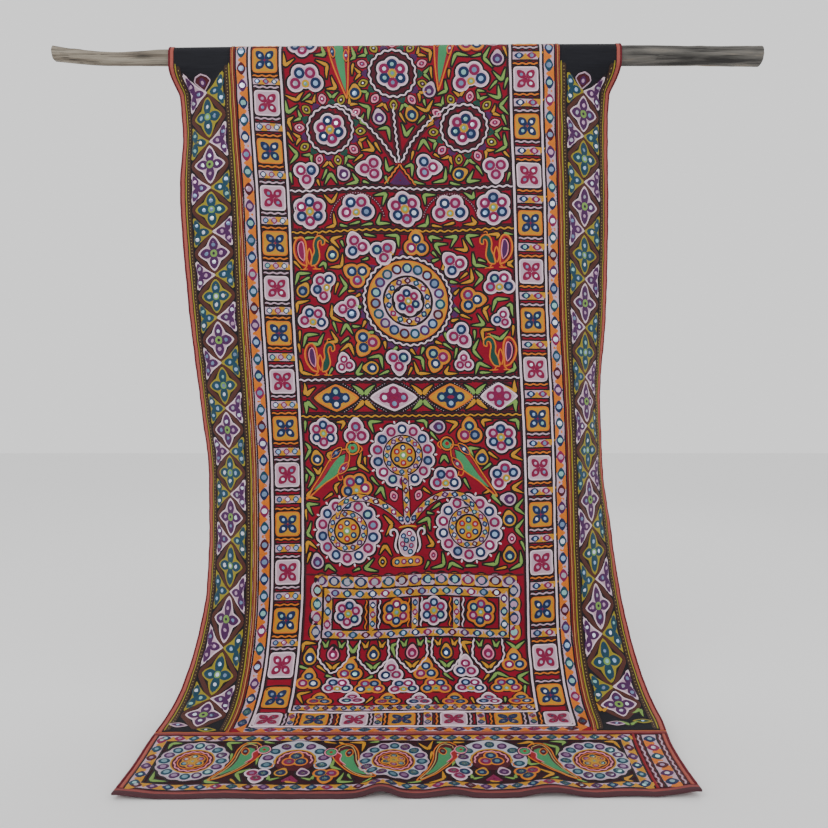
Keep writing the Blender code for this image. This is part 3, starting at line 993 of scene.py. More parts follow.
def wing(spot, colour, size):
    """A drop-shaped wing with a rim."""
    shape = soft(6.0 * size, 13.0 * size, 1.5)
    shadow(spot, shape, 2.4, sides=20, base=FILL + 0.22)
    patch(colour, spot, shape, 0.3, FILL + 0.32, 0.1, 20)
    outline("orange", spot, shape, 2.0, 0.5, -0.6, 3.0, FILL + 0.5)
    mirror(spot, 2.3 * size, FILL + 0.75)


def parrot(spot, facing=1, size=1.0):
    """A long bird in an orange line: a green body, two drop wings, a round head and a pointed tail."""
    fan("black", laid(spot, PARROT_SHELL, facing, 1.10 * size), 0.1, UNDER)
    cord("orange", laid(spot, PARROT_SHELL, facing, size), 2.6, 0.7, FILL + 0.1, 2.8)
    fan("scarlet", laid(spot, PARROT_SHELL, facing, 0.90 * size), 0.2, FILL - 0.02)
    fan("black", laid(spot, PARROT_BODY, facing, 1.06 * size), 0.1, FILL + 0.12)
    fan("emerald", laid(spot, PARROT_BODY, facing, 0.94 * size), 0.4, FILL + 0.2)
    for x, y, turn, colour in ((-6, 20, 34, "navy"), (10, 0, 30, "magenta")):
        wing(spot.spot(facing * size * x, size * y, -facing * turn), colour, size)
    head = spot.spot(facing * size * 18, size * 34)
    shadow(head, disc(11.0 * size), 2.2, sides=26, base=FILL + 0.24)
    ring_patch("orange", head, disc(11.0 * size), 8.6 * size, 0.5, FILL + 0.34, 26)
    patch("emerald", head, disc(7.4 * size), 0.3, FILL + 0.4, 0.1, 20)
    patch("red", head, disc(3.2 * size), 0.4, FILL + 0.6, 0.1, 12)
    cord("orange", laid(spot, ((26, 41), (33, 36), (29, 28)), facing, size), 2.4, 0.6, FILL, 2.6)
    for x in (2, 10):
        cord("orange", laid(spot, ((x, -12), (x + 5, -19), (x + 10, -17)), facing, size), 2.2, 0.6, step=2.6)


def band_parrot(spot, facing=1, size=1.0):
    """A stouter bird with a hunched back, in two lines, with red on its breast."""
    fan("black", laid(spot, BAND_SHELL, facing, 1.08 * size), 0.1, UNDER)
    fan("maroon", laid(spot, BAND_SHELL, facing, 0.95 * size), 0.1, FILL - 0.02)
    cord("orange", laid(spot, BAND_SHELL, facing, size), 2.4, 0.7, FILL + 0.1, 2.8)
    cord("sand", laid(spot, BAND_BODY, facing, 1.12 * size), 1.8, 0.5, FILL + 0.15, 2.8)
    fan("emerald", laid(spot, BAND_BODY, facing, 0.88 * size), 0.4, FILL + 0.2)
    fan("red", laid(spot, BAND_BREAST, facing, size), 0.3, FILL + 0.5)
    cord("rose", laid(spot, BAND_BREAST[:4], facing, size), 1.8, 0.5, FILL + 0.7, 2.6)
    wing_spot = spot.spot(-facing * 8 * size, 24 * size, facing * 18)
    patch("maroon", wing_spot, soft(6.4, 10.5, 1.5), 0.2, FILL + 0.55, 0.1, 18)
    outline("orange", wing_spot, soft(6.4, 10.5, 1.5), 1.6, 0.4, 0, 2.8, FILL + 0.6)
    mirror(wing_spot, 2.6, FILL + 0.9)
    head = spot.spot(facing * size * 21, size * 31)
    shadow(head, disc(11.0 * size), 2.0, sides=26, base=FILL + 0.54)
    ring_patch("rose", head, disc(11.0 * size), 9.0 * size, 0.5, FILL + 0.6, 26)
    patch("emerald", head, disc(8.2 * size), 0.3, FILL + 0.62, 0.1, 20)
    patch("red", head, disc(2.8 * size), 0.4, FILL + 0.8, 0.1, 12)


def diving_parrot(spot, facing=1):
    """The same bird seen along the cloth, with its long tail down and its head over the pole."""
    fan("black", laid(spot, DIVING_SHELL, 1, 1.04), 0.1, UNDER)
    fan("scarlet", laid(spot, DIVING_SHELL, 1, 0.95), 0.1, UNDER + 0.06)
    fan("black", laid(spot, DIVING_BODY, 1, 1.05), 0.1, FILL + 0.05)
    fan("emerald", laid(spot, DIVING_BODY, 1, 0.97), 0.4, FILL + 0.15)
    cord("orange", laid(spot, DIVING_SHELL), 2.8, 0.7, FILL + 0.1, 3.0)
    for x, y, colour in ((-13, 96, "navy"), (13, 84, "magenta")):
        wing(spot.spot(x, y, 4 if x < 0 else -4), colour, 0.95)
    head = spot.spot(facing * 4, 156)
    shadow(head, disc(13), 2.0, sides=26, base=FILL + 0.1)
    ring_patch("olive", head, disc(13), 9.4, 0.5, FILL + 0.25, 26)
    patch("emerald", head, disc(8.4), 0.3, FILL + 0.3, 0.1, 20)
    patch("red", head, disc(4), 0.4, FILL + 0.5, 0.1, 12)


# Filling the gaps between motifs


class Ground:
    """How far each point of a panel is from what is already sewn, so that leaves can fill the gaps."""

    def __init__(self, top, foot, low=-GROUND_HALF, high=GROUND_HALF):
        self.box = (low, high, top, foot)
        self.u = np.arange(low, high + NET, NET)
        self.s = np.arange(top, foot + NET, NET)
        self.uu, self.ss = np.meshgrid(self.u, self.s)
        across = np.minimum(self.uu - low, high - self.uu)
        self.free = np.minimum(across, np.minimum(self.ss - top, foot - self.ss)) + 1.5
        self.sewn = 0

    def cover(self, u, s, radius):
        np.minimum(self.free, np.hypot(self.uu - u, self.ss - s) - radius, out=self.free)

    def cover_lobes(self, spot, angles, reach, radius):
        for a in angles:
            self.cover(*spot.flat(*polar(reach, a)), radius)

    def cover_path(self, path, radius, step=6.0):
        for u, s in resample(path, step):
            self.cover(u, s, radius)

    def room(self, u, s):
        i = np.rint((s - self.s[0]) / NET).astype(int)
        j = np.rint((u - self.u[0]) / NET).astype(int)
        inside = (i >= 0) & (j >= 0) & (i < len(self.s)) & (j < len(self.u))
        free = self.free[np.clip(i, 0, len(self.s) - 1), np.clip(j, 0, len(self.u) - 1)]
        return np.where(inside, free, -1.0)

    def arms(self, u, s, narrow=1.0):
        """How far a leaf can run from a point each way."""
        room = self.room(u + np.cos(WAYS)[:, None] * STEPS, s + np.sin(WAYS)[:, None] * STEPS)
        return 3.0 * np.cumprod(room > LEAF_ROOM * narrow, axis=1).sum(axis=1)

    def sew(self, u, s, way, length, width):
        turn = math.degrees(math.atan2(-math.cos(way), -math.sin(way)))
        colour = ("leaf", "mustard")[self.sewn % 5 in (1, 3)]
        leaf(colour, Spot(u, s, turn), length, width, draw.uniform(-1.2, 1.2))
        for far in np.arange(0, length + 1, 4.0):
            self.cover(u + far * math.cos(way), s + far * math.sin(way), 0.5 * width + 1.6)

    def best_pair(self, u, s):
        reach = self.arms(u, s)
        score = np.minimum(reach[PAIR_ONE], reach[PAIR_TWO]) * 1.5 + reach[PAIR_ONE] + reach[PAIR_TWO]
        k = int(np.argmax(score))
        return float(score[k]), k, reach

    def best_leaf(self, u, s):
        reach = self.arms(u, s, 0.72)
        half = len(WAYS) // 2
        total = reach[:half] + reach[half:]
        k = int(np.argmax(total))
        return float(total[k]), k, reach

    def fill(self, least=12.0):
        """Leaves joined in V pairs, the longest first, then single leaves in the gaps left."""
        low, high, top, foot = self.box
        columns, rows = np.arange(low + 5, high - 4, 5.0), np.arange(top + 5, foot - 4, 5.0)
        places = [(u, s) for u in columns for s in rows]
        for find, floor, room in ((self.best_pair, 3.5 * least, 4.6), (self.best_leaf, 11.0, 3.0)):
            queue = []
            for u, s in places:
                if self.room(np.array(u), np.array(s)) > room:
                    queue.append((-find(u, s)[0] - draw.uniform(0, 1), u, s))
            heapq.heapify(queue)
            while queue:
                before, u, s = heapq.heappop(queue)
                if self.room(np.array(u), np.array(s)) <= room:
                    continue
                score, k, reach = find(u, s)
                if score < floor:
                    continue
                if score < -before - 2.0:
                    heapq.heappush(queue, (-score, u, s))
                    continue
                if find == self.best_pair:
                    for way in (PAIR_ONE[k], PAIR_TWO[k]):
                        self.sew(u, s, WAYS[way], min(25.0, reach[way] + 2.0), 7.4)
                else:
                    back = float(reach[k + len(WAYS) // 2])
                    way = WAYS[k]
                    start = (u - back * math.cos(way), s - back * math.sin(way))
                    self.sew(*start, way, min(22.0, score + 1.0), 5.4)
                self.sewn += 1


def sow(ground, table):
    """Sews the motifs of a table, with the columns kind, u, s, turn and scheme."""
    for kind, u, s, turn, scheme in table:
        spot = Spot(u, s, 0.0 if kind == "peacock" else turn)
        if kind in TREFOILS:
            sizes, covered = TREFOILS[kind]
            trefoil(spot, scheme, *sizes)
            ground.cover_lobes(spot, even(3), *covered)
        elif kind in FLOWERS:
            sizes, covered = FLOWERS[kind]
            flower(spot, scheme, *sizes)
            ground.cover(u, s, covered)
        elif kind in HALVES:
            sizes, covered, middle = HALVES[kind]
            half_flower(spot, scheme, *sizes)
            ground.cover_lobes(spot.spot(0, 3), HALF_PETALS, *covered)
            ground.cover(u, s, middle)
        elif kind == "eye":
            drop_eye(spot, FILLS[scheme], {"lilac": "purple", "mustard": "navy"}[scheme])
            ground.cover(u, s, 15.5)
            ground.cover(*spot.flat(0, 13), 7)
        elif kind == "peacock":
            peacock(spot, turn, ("magenta", "purple")[scheme == "mustard"])
            ground.cover(*spot.flat(-18 * turn, 4), 22)
            ground.cover(*spot.flat(16 * turn, 4), 22)
            ground.cover(u, s + 20, 18)
        elif kind == "seed":
            rim, dark = {"lilac": ("rose", "magenta"), "mustard": ("mustard", "black")}[scheme]
            seed_eye(spot, rim, dark, 9)
            ground.cover(u, s, 13)


def divider(s, colour):
    """A wavy line right across the field, between two panels."""
    path = line_of((-FIELD + 3, s), (FIELD - 3, s))
    cord("black", path, 18.5, 0.1, UNDER - 0.2, 6.0, reverse=False, flat=True)
    cord("maroon", path, 13.5, 0.1, UNDER - 0.12, 6.0, reverse=False, flat=True)
    wavy_line(colour, path, 2.9, 1.6, 15)


def panel_a():
    """The top panel: three flowers in wavy rings on stems, with birds' tails coming over the pole."""
    ground = Ground(-66, 291)
    medallions = ((-6, 72, 0), (-135, 179, 12), (134, 178, -12))
    for u, s, turn in medallions:
        halo_medallion(Spot(u, s), turn)
        ground.cover(u, s, 74)
    stems = (
        [(0, 247), (-4, 190), (-7, 137)],
        [(-4, 247), (-34, 204), (-72, 162), (-104, 136), (-124, 129)],
        [(4, 247), (28, 204), (66, 162), (100, 136), (120, 129)],
    )
    for stem in stems:
        cord("maroon", curve(stem), 17.0, 0.1, UNDER - 0.12, 4.0, reverse=False, flat=True)
        wavy_line("pearl", curve(stem), 3.1, 1.5, 14)
        ground.cover_path(curve(stem), 8.0)
    patch("purple", Spot(0, 282), corners([(-23, -8), (23, -8), (0, 20)]), 0.4, FILL, 0.1, 24)
    wavy_line("orange", line_of((-31, 290), (0, 250)), 3.0, 1.0, 12)
    wavy_line("orange", line_of((0, 250), (31, 290)), 3.0, 1.0, 12)
    ground.cover(0, 280, 22)
    sow(ground, (
        ("trefoil", -189, 262, 180, "lilac"), ("trefoil", -57, 259, 90, "plum"),
        ("trefoil", 56, 253, -90, "lilac"), ("trefoil", 193, 261, 180, "plum"),
        ("large half", -180, 88, 0, "lilac"), ("large half", 150, 88, 10, "lilac"),
        ("flower", -184, 6, 0, "lilac"), ("flower", 196, -14, 0, "lilac"), ("trefoil", -4, -14, 0, "mustard"),
        ("trefoil", 152, 8, 0, "mustard"), ("eye", -62, -30, 0, "lilac"), ("eye", 50, -34, 0, "mustard"),
        ("eye", -35, 160, 10, "lilac"), ("eye", 66, 104, -20, "lilac"), ("eye", -112, 268, 30, "lilac"),
        ("eye", 203, 46, 0, "lilac"), ("eye", 30, 152, 20, "mustard"), ("eye", -82, 110, 0, "mustard"),
        ("eye", 120, 268, -70, "mustard"), ("eye", -208, -50, 0, "mustard"),
    ))
    for u, s, turn in ((-98, 121, 8), (84, 105, -8)):
        bird = Spot(u, s, turn)
        diving_parrot(bird, -1 if turn > 0 else 1)
        for y, wide in ((12, 7), (26, 10), (44, 14), (66, 18), (90, 22), (114, 23), (138, 19), (158, 17)):
            ground.cover(*bird.flat(0, y), wide)
    ground.fill()


def panel_b():
    """A row of flowers and half flowers under dark seeded arcs."""
    ground = Ground(303, 374)
    sow(ground, (
        ("large flower", -186, 338, 0, "lilac"), ("large half", -90, 345, 0, "lilac"),
        ("large flower", 7, 338, 10, "lilac"), ("large half", 99, 345, 0, "lilac"),
        ("large flower", 186, 338, 0, "lilac"),
    ))
    angles = np.linspace(0.15, math.pi - 0.15, 20)
    for centre in (-90, 99):
        arc = np.array([(centre + 56 * math.cos(a), 366 - 60 * math.sin(a)) for a in angles])
        seeded_line(arc, "maroon", 5.4)
        ground.cover_path(arc, 3.0)
    ground.fill()


def panel_c():
    """The great medallion in a ring of trefoils, with a peacock in each corner."""
    ground = Ground(386, 671)
    great_medallion(Spot(8, 521))
    ground.cover(8, 521, 106)
    sow(ground, (
        ("peacock", -190, 420, 1, "lilac"), ("peacock", -178, 634, 1, "mustard"),
        ("peacock", 190, 424, -1, "mustard"), ("peacock", 190, 628, -1, "mustard"),
        ("trefoil", -92, 412, 20, "lilac"), ("trefoil", -40, 424, -50, "lilac"),
        ("trefoil", 28, 408, 0, "mustard"), ("trefoil", 104, 448, 40, "lilac"),
        ("trefoil", 137, 520, -90, "mustard"), ("trefoil", 110, 590, 220, "lilac"),
        ("trefoil", 62, 635, 160, "mustard"), ("trefoil", -18, 640, 180, "lilac"),
        ("trefoil", -80, 604, 150, "mustard"), ("trefoil", -112, 536, 90, "lilac"),
        ("trefoil", -92, 468, 60, "mustard"), ("small trefoil", -126, 646, 10, "plum"),
        ("small trefoil", 116, 645, 0, "plum"), ("small trefoil", 196, 560, -20, "lilac"),
        ("half", -156, 492, 70, "lilac"), ("half", -188, 560, -8, "lilac"), ("half", 194, 497, 0, "lilac"),
        ("eye", -206, 497, -30, "mustard"), ("eye", -72, 655, 90, "mustard"),
        ("eye", -142, 427, 10, "mustard"),
    ))
    ground.fill()


def panel_d():
    """A row of pointed ovals with leaves above and below and crossed dark bands between."""
    for k, (u, half) in enumerate(((-149, 48), (-32, 48), (85, 46), (182, 37))):
        scheme = ("mustard", "plum", "mustard", "plum")[k]
        spot = Spot(u, 714)
        edge = soft(half, 27.5, 1.20)
        shadow(spot, edge, 9.0, "maroon", 56, UNDER - 0.12)
        fill_with_edge(spot, edge, FILLS[scheme])
        outline(("orange", "pearl")[k % 2], spot, edge, 3.6, 0.5, -2.2, 3.4, FILL + 0.14)
        inner = {"mustard": "navy", "plum": "magenta"}[scheme]
        patch(inner, spot, soft(half * 0.74, 20.5, 1.05), 0.3, FILL + 0.15, 0.1, 30)
        patch("crimson", spot, soft(9, 5, 1.3), 0.3, FILL + 0.35, 0.1, 16)
        for x, y in ((-0.40 * half, 0), (0.40 * half, 0), (0, 12.5), (0, -12.5)):
            eyelet(spot.spot(x, y), inner, 10.4, 5.2)
    gaps = (-91, 27, 136)
    for u in gaps:
        for way in (-1, 1):
            half_band = ((-46, 30), (-17, 13), (0, 0), (17, 13), (46, 30))
            ends = line_of(*((u + x, 714 - way * y) for x, y in half_band))
            seeded_line(curve(ends), "black", 5.0)
    for k, u in enumerate(gaps):
        for way in (1, -1):
            colour = ("leaf", "mustard")[(k + (way < 0)) % 2]
            vee(colour, Spot(u, 714 - way * 6, 0 if way > 0 else 180), 28, 100)
    for sign in (-1, 1):
        vee("mustard", Spot(sign * 213, 707, sign * 26), 24, 56)
        vee("leaf", Spot(sign * 213, 721, 180 - sign * 26), 24, 56)


def panel_e():
    """A vase with three stems that end in large mirrored flowers, and two parrots."""
    ground = Ground(757, 1060)
    for u, s, radius in ((-19, 830, 67), (-134, 979, 68), (113, 976, 68)):
        tipped_medallion(Spot(u, s), radius)
        ground.cover(u, s, radius + 5)
    stems = (
        [(-12, 968), (-14, 940), (-15, 910), (-17, 872)],
        [(-19, 964), (-47, 938), (-75, 921), (-103, 913), (-127, 916), (-146, 930), (-154, 944)],
        [(-6, 964), (15, 939), (40, 920), (71, 910), (97, 913), (116, 924), (126, 938)],
    )
    for stem in stems:
        eye_band(curve(stem), 11.5, 20, False, 0.72, 0.27, lift=0.75)
        ground.cover_path(curve(stem), 10.5)
    vase = Spot(-12.5, 1005)
    handle = [(19, -20), (25, -8), (24, 6), (21, 18), (26, 27), (34, 26), (35, 18), (30, 15)]
    for side in (-1, 1):
        u, s = vase.flat(*(np.array(handle) * (side, 1)).T)
        cord("black", curve(np.stack([u, s], 1)), 10.0, 0.1, UNDER, flat=True)
        cord("pearl", curve(np.stack([u, s], 1)), 3.8, 0.8, FILL)
    fill_with_edge(vase, soft(19, 28, 2.2), "lilac")
    eyes = (
        (-9, 14, "navy"), (3, 18, "magenta"), (10, 7, "navy"), (-3, 5, "teal"),
        (-11, -2, "magenta"), (7, -6, "magenta"), (-5, -11, "navy"), (5, -18, "teal"),
    )
    for x, y, petal in eyes:
        eyelet(vase.spot(x, y), petal, 5.8, 3.0)
    cord("mustard", line_of((-31, 974), (-12, 971), (6, 974)), 3.6, 0.8, FILL)
    base = soft(31, 9.5, 4.0)
    fill_with_edge(Spot(-14, 1042), base, "mustard")
    for k in range(4):
        eyelet(Spot(-35 + 14 * k, 1042), ("navy", "magenta")[k % 2], 5.8, 3.0)
    ground.cover(-12, 1003, 38)
    for u in (-36, -14, 8):
        ground.cover(u, 1042, 15)
    for u, s, turn in ((-152.6, 851.5, -13.4), (105, 846, 12.3)):
        facing = 1 if turn < 0 else -1
        bird = Spot(u, s, turn)
        parrot(bird, facing, 1.3)
        for x, y in ((20, 40), (8, 16), (-8, -14), (-22, -44)):
            ground.cover(*bird.flat(facing * x, y), 19)
    sow(ground, (
        ("flower", -180, 785, 0, "lilac"), ("flower", 182, 796, 0, "lilac"),
        ("trefoil", -111, 784, 0, "plum"), ("trefoil", 120, 785, 0, "mustard"),
        ("half", -114, 898, 10, "mustard"), ("half", 190, 877, 35, "lilac"), ("half", 67.5, 888, 0, "lilac"),
        ("eye", -196, 837, 10, "mustard"), ("eye", 57, 774, 90, "lilac"), ("eye", 142.5, 838, -10, "mustard"),
        ("eye", 194.6, 918.6, 80, "lilac"), ("eye", 194, 959, 10, "mustard"),
        ("seed", 198, 996.5, 0, "lilac"),
        ("eye", 193, 1030, 0, "mustard"), ("eye", -197, 1043, 10, "lilac"), ("seed", -40, 911, 20, "lilac"),
        ("seed", 11, 911, -20, "lilac"), ("seed", -64, 1040, 0, "mustard"), ("seed", 40, 1032, 0, "lilac"),
    ))
    ground.fill()


def scalloped_band(path, pitch, bump, glass):
    """A ribbon whose two-coloured edge swells round every mirror."""
    pitch, spots = cells_along(resample(path, 3.0), pitch)
    swell = soft(0.56 * pitch, 0.72 * bump, 2.4)
    for k, here in enumerate(spots):
        shadow(here, disc(bump), 4.0, sides=24)
        one, two = ("lilac", "mustard") if k % 2 else ("mustard", "lilac")
        patch(one, here.spot(0, 0.32 * bump), swell, 0.3, FILL, 0.1, 24)
        patch(two, here.spot(0, -0.32 * bump), swell, 0.3, FILL + 0.03, 0.1, 24)
        colour = EYE_COLOURS[k % len(EYE_COLOURS)]
        patch(colour, here, soft(0.46 * pitch, 0.78 * bump, 1.5), 0.4, FILL + 0.24, 0.1, 20)
        mirror(here, glass, FILL + 0.6, tints=FRAME_REFLECTIONS)


def panel_f():
    """A framed row of four flowers, with mirrors in a double frame."""
    scalloped_band(line_of((-196, 1193), (-196, 1079), (199, 1079), (199, 1193)), 26.5, 12.5, 6.6)
    eye_band(line_of((-173, 1176), (-173, 1102), (180, 1102), (180, 1176)), 17, 24.5, False, 0.66, 0.30, 1)
    eye_band(line_of((-182, 1182), (189, 1182)), 15, 24, False, 0.66, 0.30)
    frame_line = line_of((-184.5, 1092), (190, 1092), (190, 1191.5), (-184.5, 1191.5))
    cord("black", frame_line, 3.0, 0.1, FILL + 0.5, 5.0, closed=True, flat=True)
    for u, scheme in ((-131, "lilac"), (-36, "mustard"), (40, "lilac"), (134, "mustard")):
        flower(Spot(u, 1141, draw.uniform(-8, 8)), scheme, 16.0, 8.8, 4.6, 13.2, 8.2)
    for u in (-83, 2, 86):
        eye_band(line_of((u, 1115), (u, 1170)), 13, 18, False, 0.66, 0.28)
        wavy_line("orange", line_of((u - 13, 1114), (u - 13, 1171)), 2.6, 1.6, 19)
        wavy_line("pearl", line_of((u + 13, 1114), (u + 13, 1171)), 2.6, 1.6, 19)


def panel_g():
    """Pendants under the frame, then rows of trefoils and half flowers down to a narrow band."""
    ground = Ground(1196, 1326)
    for k, u in enumerate((-158, -79, -3, 65, 147)):
        w = 30 if k != 3 else 29
        side = [(u - w + 3, 1191), (u - w, 1214), (u - w + 1, 1228), (u - 13, 1246), (u, 1256)]
        path = curve(side + [(2 * u - a, b) for a, b in side[-2::-1]])
        wavy_line("pearl", path, 3.2, 1.0, 13)
        rim, dark, leaves = (("rose", "magenta", "leaf"), ("mustard", "navy", "mustard"))[k % 2]
        drop_eye(Spot(u, 1220), rim, dark, 11.5, 3.6)
        for way in (-1, 1):
            vee(leaves, Spot(u + way * 15, 1207, -way * 8), 14, 60)
        vee(("mustard", "leaf")[k % 2], Spot(u, 1247), 18, 100)
        ground.cover(u, 1220, 31)
        ground.cover(u, 1242, 14)
    upper = (
        (-123, 1252, "mustard"), (-44, 1256, "lilac"), (24, 1255, "mustard"), (102, 1249, "lilac"),
        (196, 1236, "mustard"), (-202, 1273, "mustard"),
    )
    middle = (
        (-145, 1287, "lilac"), (-84, 1289, "mustard"), (-19, 1291, "lilac"), (43, 1291, "mustard"),
        (109, 1289, "lilac"), (177, 1288, "mustard"),
    )
    lower = (
        (-176, 1314, "mustard"), (-115, 1311, "lilac"), (-48, 1315, "mustard"), (11, 1317, "lilac"),
        (78, 1317, "mustard"), (142, 1315, "lilac"), (202, 1315, "mustard"),
    )
    for kind, tall, places in (("trefoil", 0.80, upper), ("half", 0.72, middle), ("trefoil", 0.52, lower)):
        for u, s, scheme in places:
            spot = Spot(u, s, 0, tall)
            if kind == "half":
                half_flower(spot, scheme, 16.5, 9.4, 4.9, 13.2)
            else:
                trefoil(spot, scheme, 11.6, 9.6, 5.0, 14.2, 0.30)
            for way in (-1, 0, 1):
                ground.cover(u + 14 * way, s, 24 * tall)
    sow(ground, (("eye", -204, 1228, 0, "mustard"),))
    ground.fill()
    eye_band(line_of((-222, 1335), (222, 1335)), 13, 17, False, 0.70, 0.28)


def back_panels():
    """Behind the pole the rows go on in the same manner down to the back hem."""
    for s, colour in ((-72, "pearl"), (-152, "mustard")):
        divider(s, colour)
    upper = Ground(-146, -78)
    sow(upper, tuple(("half" if k % 2 else "flower", -186 + 93 * k, -112, 180, "lilac") for k in range(5)))
    upper.fill()
    lower = Ground(-296, -158)
    for u in (-146, 0, 146):
        halo_medallion(Spot(u, -228, 180))
        lower.cover(u, -228, 74)
    for u in (-73, 73):
        for s in (-172, -284):
            sow(lower, (("eye", u, s, 180, "mustard"),))
    lower.fill()


def squares():
    """The two columns of squares and the row that joins them at the foot."""
    middle = 0.5 * (FIELD + SQUARES_OUT)
    for sign, places, mirrors in ((-1, LEFT_SQUARES, 3), (1, RIGHT_SQUARES, 2)):
        first = 0 if sign < 0 else 1
        for k, s in enumerate(places):
            square(Spot(sign * middle, s), ("gold", "rose")[(k + first + 1) % 2])
        for k, (a, b) in enumerate(zip(places, places[1:])):
            room = b - a - 54
            if room > 14:
                spot = Spot(sign * middle, 0.5 * (a + b))
                square_gap(spot, 50, room, mirrors, ("lilac", "orange")[k % 2], ("orange", "lilac")[k % 2])
    for k, u in enumerate(FOOT_SQUARES):
        square(Spot(u, FOOT_ROW, 0, FOOT_TALL), ("rose", "gold")[k % 2])
    for a, b in zip(FOOT_SQUARES, FOOT_SQUARES[1:]):
        if b - a > 66:
            square_gap(Spot(0.5 * (a + b), FOOT_ROW, 90), 37, b - a - 54, 2, "lilac", "orange")


def white_line(path):
    """A straight pale line with a black and a maroon line at each side."""
    cord("maroon", path, 16.0, 0.1, UNDER - 0.12, 6.0, reverse=False, flat=True)
    cord("black", path, 11.0, 0.1, UNDER - 0.02, 6.0, reverse=False, flat=True)
    cord("pearl", path, 4.2, 0.9, UNDER + 0.1, 5.0)


def straight_lines():
    """The long pale lines, and the bands of mirrors outside them."""
    top = -BACK_LENGTH / MM + 4
    white_line(line_of((-FIELD, top), (-FIELD, 1347), (FIELD, 1347), (FIELD, top)))
    white_line(line_of((-SQUARES_OUT, top), (-SQUARES_OUT, 1391), (SQUARES_OUT, 1391), (SQUARES_OUT, top)))
    middle = 0.5 * (SQUARES_OUT + 5 + STRIP_OUT)
    for sign in (-1, 1):
        path = line_of((sign * middle, top), (sign * middle, 1396))
        eye_band(path, 20, 34, False, 0.66, 0.31, 3 * (sign > 0), ("lilac", "orange"))
        for at, colour in ((320.4, "umber"), (322.6, "sand"), (324.8, "umber")):
            cord(colour, line_of((sign * at, top), (sign * at, 1406)), 1.2, 0.5, 2.75, 6.0, reverse=False)
    eye_band(line_of((-300, 1401.5), (300, 1401.5)), 12, 33, False, 0.75, 0.36, 0, ("lilac", "orange"))


def petal(spot, colour, length=19.0, width=12.5, glass=3.9):
    """A pointed petal with a mirror in it, which runs up from the spot."""
    here = spot.spot(0, 0.5 * length)
    patch(colour, here, soft(0.5 * width, 0.54 * length, 1.7), 0.4, FILL + 0.25, 0.1, 20)
    # The mirror's painted reflection is warm in a purple petal and cool in the rest
    mirror(here.spot(0, 0.8), glass, FILL + 0.6, tints=WARM_REFLECTIONS if colour == "purple" else COOL_REFLECTIONS)


def quatrefoil(half_x, half_y, wide):
    """Four pointed petals on a cross, joined at the middle."""

    def edge(a):
        across = soft(half_x, wide, 1.35)(a)
        return np.maximum(across, soft(wide, half_y, 1.35)(a))

    return edge


def diamond(spot, half, light):
    """One cell of the lattice: four petals in a fill that follows them."""
    tall = 0.95 * half
    edge = quatrefoil(35.0, tall, 20.5)
    shadow(spot, edge, 4.0, sides=52)
    fill, dark = (("olive", "teal"), ("lilac", "purple"))[light]
    ring_patch(fill, spot, edge, 5.0, 0.3, FILL, 52)
    outline(("olive", "pearl")[light], spot, edge, 2.6, 0.5, -1.6, 4.0, FILL + 0.1)
    for reach, a in ((0.84 * tall, 0), (29.0, 90), (0.84 * tall, 180), (29.0, 270)):
        petal(spot.spot(0, 0, a).spot(0, 2.0), dark, reach - 2.0, 20.0, 4.3)
    if light:
        ring_patch("leaf", spot, disc(8.0), 3.0, 0.5, FILL + 0.55, 18)
    else:
        ring_patch("leaf", spot, disc(7.4), 4.2, 0.3, FILL + 0.5, 18)
        mirror(spot, 4.0, FILL + 0.75)


def pinched(points, power=0.22):
    """The shape through these corners with its sides drawn in."""
    straight = corners(points)
    far = max(math.hypot(*p) for p in points)
    return lambda a: straight(a) * (straight(a) / far) ** power


def half_diamond(spot, half, light):
    """The triangle between two cells and the border's edge, point to the right of the spot."""
    fill, dark = (("olive", "teal"), ("lilac", "purple"))[light]
    here = spot.spot(11, 0)
    half *= 0.86
    edge = pinched([(-13, -half), (32, 0), (-13, half)])
    shadow(here, edge, 4.0, sides=36)
    patch(fill, here, edge, 0.3, FILL, 0.1, 40)
    outline(("olive", "pearl")[light], here, edge, 2.8, 0.5, -1.8, 4.0, FILL + 0.1)
    for x, y, a, length in ((-4, 1.0, 5, 0.76 * half), (-4, -1.0, 175, 0.76 * half), (-5, 0, -90, 26)):
        petal(here.spot(x, y, a), dark, length, 16.5, 4.0)


